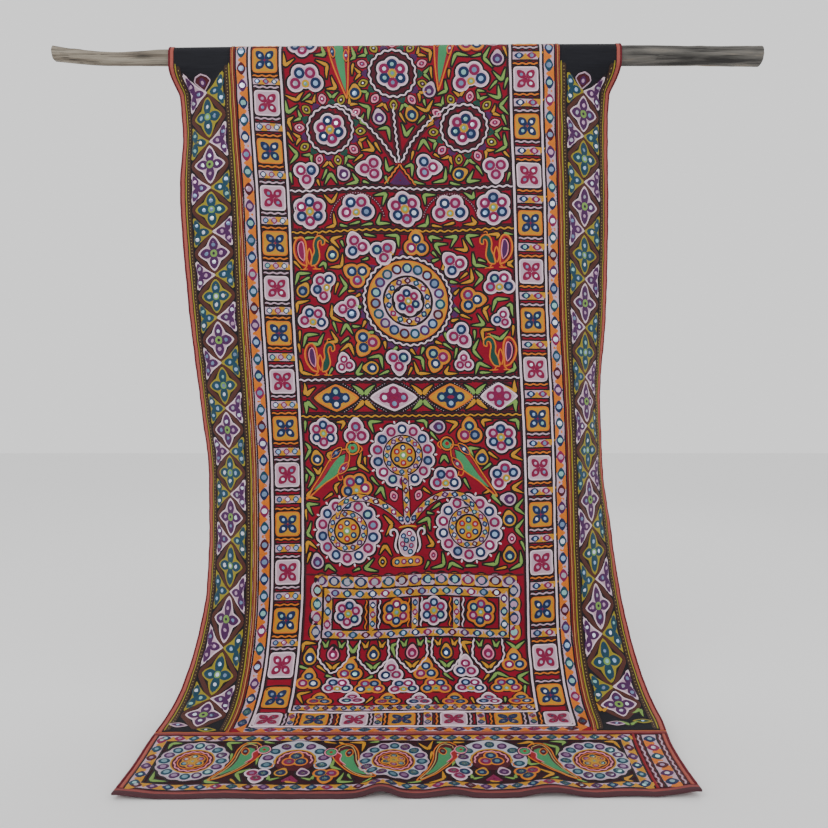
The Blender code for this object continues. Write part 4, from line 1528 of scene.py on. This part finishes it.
def lattice(sign, places):
    """Cells, triangles and the crossing dark bands of one border."""
    gaps = [0.5 * (a + b) for a, b in zip(places, places[1:])]
    low = 2 * places[0] - gaps[0]
    gaps = [low] + gaps + [LATTICE_FOOT[sign]]
    for k in range(len(places)):
        half = 0.5 * (gaps[k + 1] - gaps[k]) - 5.5
        diamond(Spot(sign * LATTICE, 0.5 * (gaps[k] + gaps[k + 1])), half, (k + (sign > 0)) % 2)
    for k, s in enumerate(gaps):
        above = 0.5 * (gaps[k] - gaps[k - 1]) if k else 0.5 * (gaps[1] - gaps[0])
        below = 0.5 * (gaps[k + 1] - gaps[k]) if k < len(gaps) - 1 else above
        light = (k + (sign < 0)) % 2
        if k < len(gaps) - 1:
            half = 0.5 * (above + below) - 6
            half_diamond(Spot(sign * LATTICE - LATTICE_HALF + 1, s), half, light)
            half_diamond(Spot(sign * LATTICE + LATTICE_HALF - 1, s, 180), half, 1 - light)
        for way in (-1, 1):
            for reach in ((above,) if k == len(gaps) - 1 else (below,) if k == 0 else (above, below)):
                up = -1 if reach is above and k else 1
                ends = line_of((sign * LATTICE, s), (sign * LATTICE + way * LATTICE_HALF, s + up * reach))
                cord("brown", ends, 9.0, 0.3, UNDER, step=6.0)
    for offset in (LATTICE_HALF + 7.0, -LATTICE_HALF - 7.0):
        u = sign * LATTICE + offset
        seeded_line(line_of((u, low - 46), (u, 1404)), "umber", 8.4, "sand", 6.5)
    for offset in (53.3, -53.3):
        u = sign * LATTICE + offset
        cord("olive", line_of((u, low - 50), (u, 1404)), 3.0, 0.7, step=5.0)
    crown_motif(sign, low)
    foot_eyes(sign, LATTICE_FOOT[sign])


def crown_motif(sign, low):
    """A small fan where the lattice ends in plain black cloth."""
    spot = Spot(sign * LATTICE - 5, low - 19)
    fan_edge = corners([(0, -15), (18, 2), (12, 9), (0, 13), (-12, 9), (-18, 2)])
    patch("maroon", spot, fan_edge, 0.2, FILL, 0.1, 30, -2.0)
    outline("lilac", spot, fan_edge, 2.4, 0.7, 0, 3.4)
    patch("purple", spot, soft(7, 8, 1.5), 0.3, FILL + 0.2, 0.1, 14)
    mirror(spot, 3.2, tints=WARM_REFLECTIONS)


def foot_eyes(sign, foot):
    """Two flat eyes and some leaves under the last cell of the lattice."""
    for x, s, rim, dark in FOOT_EYES[sign]:
        here = Spot(sign * LATTICE + x, s, -6, 0.75)
        shadow(here, soft(19, 9, 1.3), 2.6)
        patch(rim, here, soft(19, 9, 1.3), 0.4, FILL, 0.1, 26)
        patch(dark, here, soft(13.5, 5.6, 1.3), 0.3, FILL + 0.3, 0.1, 20)
        mirror(here, 3.0, FILL + 0.6)
    if sign > 0:
        vee("leaf", Spot(LATTICE + 6, foot + 17, 0), 20, 120)
        vee("mustard", Spot(LATTICE - 36, foot - 24, -20), 22, 70)
        vee("leaf", Spot(LATTICE + 36, foot - 26, 150), 20, 60)


def band_petals(spot, angles, reach, shade_each=False):
    """The mirrors of a round of the foot band, each in a dark pointed petal."""
    for k, a in enumerate(angles):
        here = spot.spot(*polar(reach, a), a - 90)
        if shade_each:
            shadow(here, disc(13), 3.2, sides=20, base=UNDER - 0.05)
            patch("ice", here, disc(13), 0.3, FILL + 0.05, 0.2, 20)
        ring_patch(("teal", "purple")[k % 2], here, soft(8.6, 9.8, 1.9), 4.4, 0.6, FILL + 0.45, 18)
        # The mirrors' painted reflections alternate cool and warm with the teal and purple petals
        mirror(here, 4.9, FILL + 0.85, tints=(COOL_REFLECTIONS, WARM_REFLECTIONS)[k % 2])


def band_round(spot):
    """A scalloped ring of mirrors round a wavy line and a flower."""
    edge = lobes(even(16), 46, 14, 48)
    shadow(spot, edge, 4.2, sides=80)
    ring_patch("ice", spot, edge, 35, 0.35, FILL, 80)
    outline("lilac", spot, edge, 2.4, 0.5, -1.5, 3.6, FILL + 0.1)
    band_petals(spot, even(16), 47)
    patch("maroon", spot, disc(37), 0.3, FILL, 0.1, 48)
    outline("mustard", spot, disc(35), 2.6, 0.8, 0, 3.6, FILL + 0.2)
    cord("rose", waved(ring_path(spot, disc(29)), 1.2, 13, True)[:-1], 2.6, 0.8, FILL + 0.2, 2.8, closed=True)
    outline("orange", spot, disc(24), 2.0, 0.8, 0, 3.6, FILL + 0.2)
    patch("mustard", spot, lobes(even(6), 12.5, 9.6, 12), 0.5, FILL + 0.2, 0.1, 40)
    for k, a in enumerate(even(6)):
        eyelet(spot.spot(*polar(13.5, a)), ("teal", "magenta")[k % 2], 6.4, 3.6)
    eyelet(spot, "leaf", 5.6, 2.8)


def band_half_round(spot):
    """The upper part of such a round, with a trefoil in it and drops and trefoils under it."""
    angles = list(np.linspace(-16, 196, 9))
    turns = np.radians(np.linspace(-18, 198, 40))

    def arc(radius):
        return np.stack(spot.flat(radius * np.cos(turns), radius * np.sin(turns)), 1)

    cord("black", arc(48), 32, 0.1, UNDER - 0.05, 4.0, reverse=False, flat=True)
    cord("ice", arc(48), 24, 0.3, FILL, 4.0)
    band_petals(spot, angles, 47, True)
    patch("maroon", spot, soft(33, 30, 2.4), 0.2, FILL - 0.04, 0.1, 36)
    cord("mustard", arc(33.5), 2.8, 0.8, FILL + 0.2)
    cord("rose", waved(arc(27.5), 1.2, 12), 2.6, 0.8, FILL + 0.2, 2.6)
    trefoil(spot.spot(0, 3), "mustard", 11.0, 9.4, 4.8, 12.5)
    for way, rim, dark in ((-1, "mustard", "navy"), (1, "lilac", "purple")):
        drop_eye(spot.spot(way * 18, -36, way * 16), rim, dark, 11, 3.4)
        trefoil(spot.spot(way * 55, -43, 180), ("lilac", "mustard")[way > 0], 10.4, 9.0, 4.4, 12.6)
        vee("leaf", spot.spot(way * 34, -58, way * 30), 17, 80)
        vee("orange", spot.spot(way * 37, -20, -way * 20), 13, 70)
    patch("magenta", spot.spot(0, -57), corners([(-16, -7), (16, -7), (0, 14)]), 0.4, FILL, 0.1, 24)


def foot_band():
    """The band along the foot: big rounds, half rounds and parrots between edges of mirrors."""
    left, right = -428.0, 374.5
    top, foot = 1427.8, 1561.5
    ground = Ground(top + 8, foot - 8, left + 16, right - 14)
    for s, first in ((top, 0), (foot, 3)):
        eye_band(line_of((left - 8, s), (right + 8, s)), 14.0, 25, False, 0.74, 0.28, first)
    for u, first in ((left, 1), (right, 2)):
        eye_band(line_of((u, top - 7), (u, foot + 7)), 18, 24, False, 0.74, 0.22, first)
    for u, s in ((-357, 1491), (-25, 1493), (307, 1494)):
        band_round(Spot(u, s, 0, BAND_TALL))
        ground.cover(u, s, 58)
    for u in (-188, 137):
        spot = Spot(u, BAND_ROW - 3, 0, BAND_TALL)
        band_half_round(spot)
        ground.cover(u, BAND_ROW - 10, 58)
        for way in (-1, 1):
            ground.cover(u + way * 54, BAND_ROW + 38, 20)
            ground.cover(u + way * 26, BAND_ROW + 46, 16)
    for u, s, turn in ((-269.5, 1491, -4.5), (-104, 1496, 10), (63, 1493, -5), (222, 1497, 9)):
        facing = 1 if turn < 0 else -1
        bird = Spot(u, s, turn)
        band_parrot(bird, facing, 1.04)
        for x, y in ((17, 34), (-6, 30), (-4, 8), (-12, -12), (-26, -38)):
            ground.cover(*bird.flat(facing * x, y), 17)
    ground.fill()


def foot_strip():
    """The corner strip at the band's right end: wavy lines beside a band of mirrors."""
    top, foot = 1422.0, 1570.0
    eye_band(line_of((415.5, top), (415.5, foot)), 24, 24.5, False, 0.70, 0.20, 0, ("lilac", "orange"))
    for u in (396.5, 434):
        wavy_line("lilac", line_of((u, top), (u, foot)), 3.0, 1.3, 15, ground="maroon")


def sew_all():
    """All of the thread work and the mirrors."""
    panel_a()
    panel_b()
    panel_c()
    panel_d()
    panel_e()
    panel_f()
    panel_g()
    back_panels()
    for s, colour in ((297, "pearl"), (380, "mustard"), (677, "pearl"), (751, "mustard")):
        divider(s, colour)
    cord("maroon", line_of((-FIELD + 6, 1068), (FIELD - 6, 1068)), 4.0, 0.5, step=6)
    squares()
    straight_lines()
    lattice(-1, LEFT_DIAMONDS)
    lattice(1, RIGHT_DIAMONDS)
    foot_band()
    foot_strip()


# Materials


def nodes_of(name):
    made = bpy.data.materials.new(name)
    made.use_nodes = True
    tree = made.node_tree
    return made, tree, tree.nodes["Principled BSDF"]


def mix_colour(tree, factor, one, two):
    """A colour between two, by a factor socket."""
    node = tree.nodes.new("ShaderNodeMix")
    node.data_type = "RGBA"
    tree.links.new(factor, node.inputs["Factor"])
    for socket, colour in ((node.inputs["A"], one), (node.inputs["B"], two)):
        if hasattr(colour, "is_linked"):
            tree.links.new(colour, socket)
        else:
            socket.default_value = (*colour, 1.0)
    return node.outputs["Result"]


def noise_node(tree, vector, scale, detail=3.0):
    node = tree.nodes.new("ShaderNodeTexNoise")
    node.inputs["Scale"].default_value = scale
    node.inputs["Detail"].default_value = detail
    tree.links.new(vector, node.inputs["Vector"])
    return node.outputs["Fac"]


def object_place(tree):
    return tree.nodes.new("ShaderNodeTexCoord").outputs["Object"]


def flat_place(tree):
    """Coordinates on the flat pattern, or along and across the stitches."""
    node = tree.nodes.new("ShaderNodeUVMap")
    node.uv_map = "thread"
    return node.outputs["UV"]


def finish_of(shader, **values):
    """Sets the shader's own sockets, with words joined by underscores."""
    for name, value in values.items():
        shader.inputs[name.replace("_", " ")].default_value = value


def stretched(tree, vector, scale):
    """Coordinates scaled unevenly."""
    node = tree.nodes.new("ShaderNodeMapping")
    node.inputs["Scale"].default_value = scale
    tree.links.new(vector, node.inputs["Vector"])
    return node.outputs["Vector"]


def bump_from(tree, height, strength, distance, shader):
    node = tree.nodes.new("ShaderNodeBump")
    node.inputs["Strength"].default_value = strength
    node.inputs["Distance"].default_value = distance
    tree.links.new(height, node.inputs["Height"])
    tree.links.new(node.outputs["Normal"], shader.inputs["Normal"])


def wave_node(tree, vector, scale, distortion=0.6):
    node = tree.nodes.new("ShaderNodeTexWave")
    node.wave_type = "BANDS"
    node.bands_direction = "X"
    node.wave_profile = "SIN"
    node.inputs["Scale"].default_value = scale
    node.inputs["Distortion"].default_value = distortion
    node.inputs["Detail"].default_value = 1.0
    tree.links.new(vector, node.inputs["Vector"])
    return node.outputs["Fac"]


def shade(colour, by):
    return tuple(min(1.0, c * by) for c in colour)


def thread_material(name, colour):
    """Soft embroidery thread: stitches across the line, with painted shade between them, uneven in dye."""
    made, tree, shader = nodes_of(name)
    position = object_place(tree)
    stitches = wave_node(tree, flat_place(tree), 0.26, 0.9)
    dye = noise_node(tree, position, 24.0, 3.0)
    fuzz = noise_node(tree, position, 900.0, 2.0)
    base = mix_colour(tree, dye, shade(colour, 0.80), shade(colour, 1.20))
    # Painted shade: the colour darkens in the gaps between stitches
    base = mix_colour(tree, stitches, shade(colour, 0.62), base)
    tree.links.new(base, shader.inputs["Base Color"])
    finish_of(shader, Roughness=0.6, Specular_IOR_Level=0.22, Sheen_Weight=0.04)
    height = tree.nodes.new("ShaderNodeMath")
    height.operation = "MULTIPLY_ADD"
    tree.links.new(fuzz, height.inputs[0])
    height.inputs[1].default_value = 0.5
    tree.links.new(stitches, height.inputs[2])
    bump_from(tree, height.outputs[0], 0.5, 0.0006, shader)
    return made


def cloth_material(name, colour, dark):
    """Plain woven cotton, uneven in dye and a little worn."""
    made, tree, shader = nodes_of(name)
    position, flat = object_place(tree), flat_place(tree)
    across = wave_node(tree, flat, 0.55, 0.4)
    turned = tree.nodes.new("ShaderNodeMapping")
    turned.inputs["Rotation"].default_value = (0, 0, math.pi / 2)
    tree.links.new(flat, turned.inputs["Vector"])
    down = wave_node(tree, turned.outputs["Vector"], 0.55, 0.4)
    weave = tree.nodes.new("ShaderNodeMath")
    weave.operation = "ADD"
    tree.links.new(across, weave.inputs[0])
    tree.links.new(down, weave.inputs[1])
    dye = noise_node(tree, position, 9.0, 4.0)
    slub = noise_node(tree, stretched(tree, flat, (0.02, 0.5, 1)), 1.0, 2.0)
    base = mix_colour(tree, dye, dark, colour)
    base = mix_colour(tree, slub, shade(dark, 0.9), base)
    tree.links.new(base, shader.inputs["Base Color"])
    finish_of(shader, Roughness=0.85, Specular_IOR_Level=0.15, Sheen_Weight=0.03)
    bump_from(tree, weave.outputs[0], 0.35, 0.0003, shader)
    return made


def mirror_material(name, colour):
    """A small old mirror: bright, with a faint haze of scratches, tinted by its painted reflection."""
    made, tree, shader = nodes_of(name)
    haze = noise_node(tree, object_place(tree), 260.0, 3.0)
    base = mix_colour(tree, haze, shade(colour, 0.82), shade(colour, 1.1))
    tree.links.new(base, shader.inputs["Base Color"])
    # The two darkest painted reflections are made less metallic and rougher
    if name in ("mirror_deep", "mirror_plum"):
        finish_of(shader, Metallic=0.25, Roughness=0.28, Coat_Weight=0.0, Coat_Roughness=0.05)
    else:
        finish_of(shader, Metallic=0.85, Roughness=0.16, Coat_Weight=0.6, Coat_Roughness=0.05)
    bump_from(tree, haze, 0.15, 0.0002, shader)
    return made


def wood_material():
    """Weathered wood: long grey streaks, cracks with painted shade in them, bark still on the thicker end."""
    made, tree, shader = nodes_of("old_branch")
    position = object_place(tree)
    streak = noise_node(tree, stretched(tree, position, (4, 130, 130)), 1.0, 6.0)
    crack = noise_node(tree, stretched(tree, position, (9, 420, 420)), 1.0, 4.0)
    blotch = noise_node(tree, stretched(tree, position, (8, 70, 70)), 1.0, 5.0)
    split = tree.nodes.new("ShaderNodeSeparateXYZ")
    tree.links.new(position, split.inputs[0])
    end = tree.nodes.new("ShaderNodeMapRange")
    end.inputs["From Min"].default_value = -0.35
    end.inputs["From Max"].default_value = 0.42
    tree.links.new(split.outputs["X"], end.inputs["Value"])

    def ramp(factor, stops):
        node = tree.nodes.new("ShaderNodeValToRGB")
        while len(node.color_ramp.elements) < len(stops):
            node.color_ramp.elements.new(0.5)
        for element, (at, colour) in zip(node.color_ramp.elements, stops):
            element.position = at
            element.color = (*colour, 1.0)
        tree.links.new(factor, node.inputs["Fac"])
        return node.outputs["Color"]

    bare = ramp(streak, BARE_WOOD)
    bark = ramp(blotch, BARK)
    base = mix_colour(tree, end.outputs["Result"], bare, bark)
    # Painted shade in the cracks, darkest where the bump's grooves are deepest
    lines = ramp(crack, CRACK_SHADE_RAMP)
    dark = tree.nodes.new("ShaderNodeMix")
    dark.data_type = "RGBA"
    dark.blend_type = "MULTIPLY"
    dark.inputs["Factor"].default_value = 0.85
    tree.links.new(base, dark.inputs["A"])
    tree.links.new(lines, dark.inputs["B"])
    tree.links.new(dark.outputs["Result"], shader.inputs["Base Color"])
    finish_of(shader, Roughness=0.86)
    bump_from(tree, crack, 0.7, 0.0012, shader)
    return made


def hang_work():
    """Hangs each colour's work as one piece."""
    for colour, done in works.items():
        points = hanging.hang(np.concatenate(done.points))
        glass = colour in MIRROR_REFLECTIONS
        name = colour if glass else f"thread_{colour}"
        piece = build_mesh(name, points, np.concatenate(done.quads), np.concatenate(done.uvs))
        made = mirror_material(name, MIRROR_REFLECTIONS[colour]) if glass else thread_material(name, THREADS[colour])
        piece.data.materials.append(made)
        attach(piece, "root")


# Cloth


def rows_between(low, high):
    """Distances along the cloth, close together over the pole and in the bend at the foot."""
    pole = np.arange(-66, 66, 3.0)
    rest = (np.arange(-300, -66, 7.0), np.arange(66, 1200, 7.0), np.arange(1200, 1591, 5.5))
    rows = np.sort(np.concatenate([pole, *rest]))
    return np.array([low, *rows[(rows > low + 1.5) & (rows < high - 1.5)], high])


def cloth(name, across, length, low, high, made, step=6.8, edge_drop=0.0):
    """A thin closed sheet cut from the pattern, between two heights over its under-face."""
    columns = max(3, int(round((across[1] - across[0]) / step)) + 1)
    us, ss = np.linspace(*across, columns), rows_between(*length)
    uu, sss = np.meshgrid(us, ss)
    v = (uu - across[0]) / (across[1] - across[0]) * 2 - 1
    top = high - edge_drop * v**4
    front = np.stack([uu, sss, top], -1).reshape(-1, 3)
    rear = np.stack([uu, sss, np.full_like(uu, low)], -1).reshape(-1, 3)
    rows = len(ss)
    index = np.arange(rows * columns).reshape(rows, columns)
    face = np.stack([index[:-1, :-1], index[1:, :-1], index[1:, 1:], index[:-1, 1:]], -1).reshape(-1, 4)
    back = face[:, ::-1] + rows * columns
    rim = np.concatenate([index[0], index[1:, -1], index[-1, -2::-1], index[-2:0:-1, 0]])
    after = np.roll(rim, -1)
    wall = np.stack([rim, after, after + rows * columns, rim + rows * columns], -1)
    points = hanging.hang(np.concatenate([front, rear]))
    quads = np.concatenate([face, back, wall])
    uvs = np.tile(front[:, :2], (2, 1))
    piece = build_mesh(name, points, quads, uvs)
    piece.data.materials.append(made)
    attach(piece, "root")
    return piece


def make_cloths():
    """The sheets and tapes of the hanging, each in the place of its solid."""
    red = cloth_material("crimson_cotton", (0.34, 0.009, 0.028), (0.19, 0.005, 0.018))
    black = cloth_material("black_cotton", (0.023, 0.024, 0.031), (0.009, 0.009, 0.012))
    maroon = cloth_material("maroon_cotton", (0.060, 0.008, 0.016), (0.022, 0.005, 0.009))
    back, end, foot = -BACK_LENGTH / MM, PANEL_END / MM, FRONT_LENGTH / MM
    panel, half = PANEL_HALF / MM, HALF / MM
    border = (panel + BRAID_WIDTH / MM, half - BINDING_WIDTH / MM)
    field = cloth("field_cloth", (-panel, panel), (back, end), CLOTH_LOW, CLOTH_TOP, red)
    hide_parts("field_panel")
    borders = {}
    for side, sign in (("left", -1), ("right", 1)):
        across = sorted((sign * border[0], sign * border[1]))
        sheet = cloth(f"border_cloth_{side}", across, (back, end), CLOTH_LOW, CLOTH_TOP, black)
        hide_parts(f"border_{side}")
        borders[side] = sheet
    braid_start = end + 0.4
    band = (braid_start + CROSS_BRAID_LENGTH / MM + 0.4, foot - HEM_LENGTH / MM - 0.4)
    strip = border[1] - END_STRIP_WIDTH / MM
    piping = strip - BAND_PIPING_WIDTH / MM
    lower = cloth("foot_band_cloth", (-border[1], piping - 0.4), band, CLOTH_LOW, CLOTH_TOP, maroon)
    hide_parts("foot_band")
    corner = cloth("foot_strip_cloth", (strip, border[1]), band, CLOTH_LOW, CLOTH_TOP, maroon)
    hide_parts("foot_end_strip")
    tapes = make_tapes(back, end, foot, panel, half, border, band, strip, piping)

    def going_with(*nodes):
        return [piece for node in nodes for piece in tapes[node]]

    edging = going_with("braid_left", "braid_right", "cross_braid")
    for side, sheet in borders.items():
        going_with(f"binding_{side}")
    edging = going_with("foot_tape_left", "foot_piping", "hem_tape")
    going_with("foot_tape_right")


def make_tapes(back, end, foot, panel, half, border, band, strip, piping):
    """Braids, bindings, piping and the hem tape, with their raised ribs."""
    rust = cloth_material("rust_tape", (0.50, 0.150, 0.115), (0.32, 0.070, 0.055))
    wine = cloth_material("wine_tape", (0.22, 0.025, 0.035), (0.10, 0.010, 0.018))
    amber = cloth_material("amber_braid", (0.58, 0.18, 0.05), (0.36, 0.08, 0.03))
    pink = cloth_material("pink_braid", (0.60, 0.13, 0.10), (0.38, 0.06, 0.04))
    red = cloth_material("red_tape", (0.38, 0.035, 0.045), (0.20, 0.015, 0.022))
    faded = cloth_material("faded_tape", (0.40, 0.100, 0.090), (0.22, 0.050, 0.048))
    dusk = cloth_material("dusk_tape", (0.115, 0.045, 0.052), (0.060, 0.024, 0.030))

    tapes = {}

    def tape(node, slot, name, across, length, low, high, made, rounded=0.5):
        piece = cloth(name, across, length, low, high, made, 1.6, rounded)
        tapes.setdefault(node, []).append(piece)
        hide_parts(node)

    for side, sign in (("left", -1), ("right", 1)):
        edge = border[1]
        ribs = (
            ("braid", "braid", "braid_red", panel + 0.3, panel + 2.6, 0.8, 2.4, red),
            ("braid", "braid", "braid_amber", panel + 2.6, panel + 6.4, 0.7, 3.0, amber),
            ("braid", "braid", "braid_pink", panel + 6.4, panel + 8.7, 0.8, 2.5, pink),
            ("binding", "tape", "binding_rust", edge + 0.3, half - 3.4, 0.5, 2.9, rust),
            ("binding", "tape", "binding_wine", half - 3.4, half, 0.0, 3.3, wine),
            ("foot_tape", "tape", "foot_rust", edge + 0.4, half - 4.6, 0.3, 2.9, rust),
            ("foot_tape", "tape", "foot_wine", half - 4.6, half, 0.0, 3.3, wine),
        )
        for node, slot, name, one, two, low, high, made in ribs:
            length = band if node == "foot_tape" else (back, end)
            across = sorted((sign * one, sign * two))
            tape(f"{node}_{side}", slot, f"{name}_{side}", across, length, low, high, made)
    whole, first, hem = (-half, half), end + 0.4, foot - HEM_LENGTH / MM
    tape("cross_braid", "braid", "cross_braid_amber", whole, (first, first + 3.2), 0.5, 2.5, amber)
    tape("cross_braid", "braid", "cross_braid_pink", whole, (first + 3.2, first + 7.4), 0.4, 3.0, faded)
    tape("cross_braid", "braid", "cross_braid_wine", whole, (first + 7.4, first + 10.5), 0.5, 2.5, wine)
    tape("foot_piping", "tape", "foot_piping_tape", (piping, strip - 0.4), band, 0.4, 3.0, red)
    tape("hem_tape", "tape", "hem_wine", whole, (hem, hem + 3), 0.3, 2.8, wine)
    tape("hem_tape", "tape", "hem_rose", whole, (hem + 3, hem + 9.5), 0.3, 3.4, faded)
    tape("hem_tape", "tape", "hem_dusk", whole, (hem + 9.5, foot), 0.1, 4.0, dusk, 0.9)
    return tapes


def make_pole():
    """The branch with long cracks, knots and bark that has come off in patches."""
    xs = np.linspace(-0.5 * POLE_LENGTH, 0.5 * POLE_LENGTH, POLE_RINGS)
    angles = np.linspace(0, 2 * math.pi, POLE_SIDES, endpoint=False)
    radius = along(POLE_TABLE, "x", xs, "radius")
    height = along(POLE_TABLE, "x", xs, "height")
    points = np.empty((POLE_RINGS, POLE_SIDES, 3))
    for i, x in enumerate(xs):
        for j, a in enumerate(angles):
            r = radius[i] * (0.972 - 0.028 * math.sin(3 * a + 9 * x) * math.cos(2 * a - 21 * x))
            y, z = math.cos(a), math.sin(a)
            groove = noise.noise(Vector((x * 7, y * 3.1, z * 3.1)))
            grain = noise.noise(Vector((x * 26, y * 11, z * 11)))
            r += 0.0007 * groove + 0.00045 * grain - 0.0008 * max(0.0, 0.18 - abs(groove)) / 0.18
            for kx, ka, size, rise in zip(*KNOTS.values()):
                da = (a - ka + math.pi) % (2 * math.pi) - math.pi
                far = ((x - kx) / size) ** 2 + (da * radius[i] / size) ** 2
                r += rise * math.exp(-far) - 0.6 * rise * math.exp(-6 * far)
            points[i, j] = (x, POLE_Y + r * y, height[i] + r * z)
    index = np.arange(POLE_RINGS * POLE_SIDES).reshape(POLE_RINGS, POLE_SIDES)
    index = np.concatenate([index, index[:, :1]], 1)
    quads = np.stack([index[:-1, :-1], index[:-1, 1:], index[1:, 1:], index[1:, :-1]], -1).reshape(-1, 4)
    flat = points.reshape(-1, 3)
    uvs = np.stack([np.repeat(xs, POLE_SIDES), np.tile(angles, POLE_RINGS)], 1)
    made = wood_material()
    pole = build_mesh("barked_pole", flat, quads, uvs)
    caps = bpy.data.meshes.new("sawn")
    rings = [points[0], points[-1]]
    verts, faces = [], []
    for k, ring in enumerate(rings):
        start = len(verts)
        verts += [tuple(p) for p in ring]
        faces.append(tuple(range(start, start + POLE_SIDES))[:: 1 if k else -1])
    caps.from_pydata(verts, [], faces)
    ends = bpy.data.objects.new("sawn_ends", caps)
    bpy.context.scene.collection.objects.link(ends)
    for piece in (pole, ends):
        piece.data.materials.append(made)
        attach(piece, "root")
        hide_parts("pole")


def studio():
    """A pale floor, soft light and the camera where the photograph was taken from."""
    floor_mesh = bpy.data.meshes.new("floor")
    corners_of_floor = [(x * FLOOR_HALF, y * FLOOR_HALF, 0) for x, y in ((-1, -1), (1, -1), (1, 1), (-1, 1))]
    floor_mesh.from_pydata(corners_of_floor, [], [(0, 1, 2, 3)])
    floor = bpy.data.objects.new("floor", floor_mesh)
    bpy.context.scene.collection.objects.link(floor)
    made, _, shader = nodes_of("pale_floor")
    finish_of(shader, Base_Color=(0.86, 0.86, 0.86, 1), Roughness=0.9)
    floor_mesh.materials.append(made)
    world = bpy.data.worlds.new("soft_studio")
    world.use_nodes = True
    finish_of(world.node_tree.nodes["Background"], Color=(1, 1, 1, 1), Strength=1.15)
    bpy.context.scene.world = world
    for name, at, aim, wide, watts in LIGHTS:
        lamp = bpy.data.lights.new(name, "AREA")
        lamp.energy = watts
        lamp.size = wide
        light = bpy.data.objects.new(name, lamp)
        light.location = at
        light.rotation_euler = (Vector(aim) - Vector(at)).to_track_quat("-Z", "Y").to_euler()
        bpy.context.scene.collection.objects.link(light)
    lens = bpy.data.cameras.new("camera")
    lens.sensor_width = SENSOR_MM
    lens.lens = SENSOR_MM * CAMERA_FOCAL_PX / IMAGE_PX
    camera = bpy.data.objects.new("camera", lens)
    camera.location = (CAMERA_X, POLE_Y - CAMERA_TO_POLE, CAMERA_HEIGHT)
    camera.rotation_euler = (math.radians(90), 0, 0)
    bpy.context.scene.collection.objects.link(camera)
    bpy.context.scene.camera = camera


studio()
make_cloths()
make_pole()
sew_all()
hang_work()
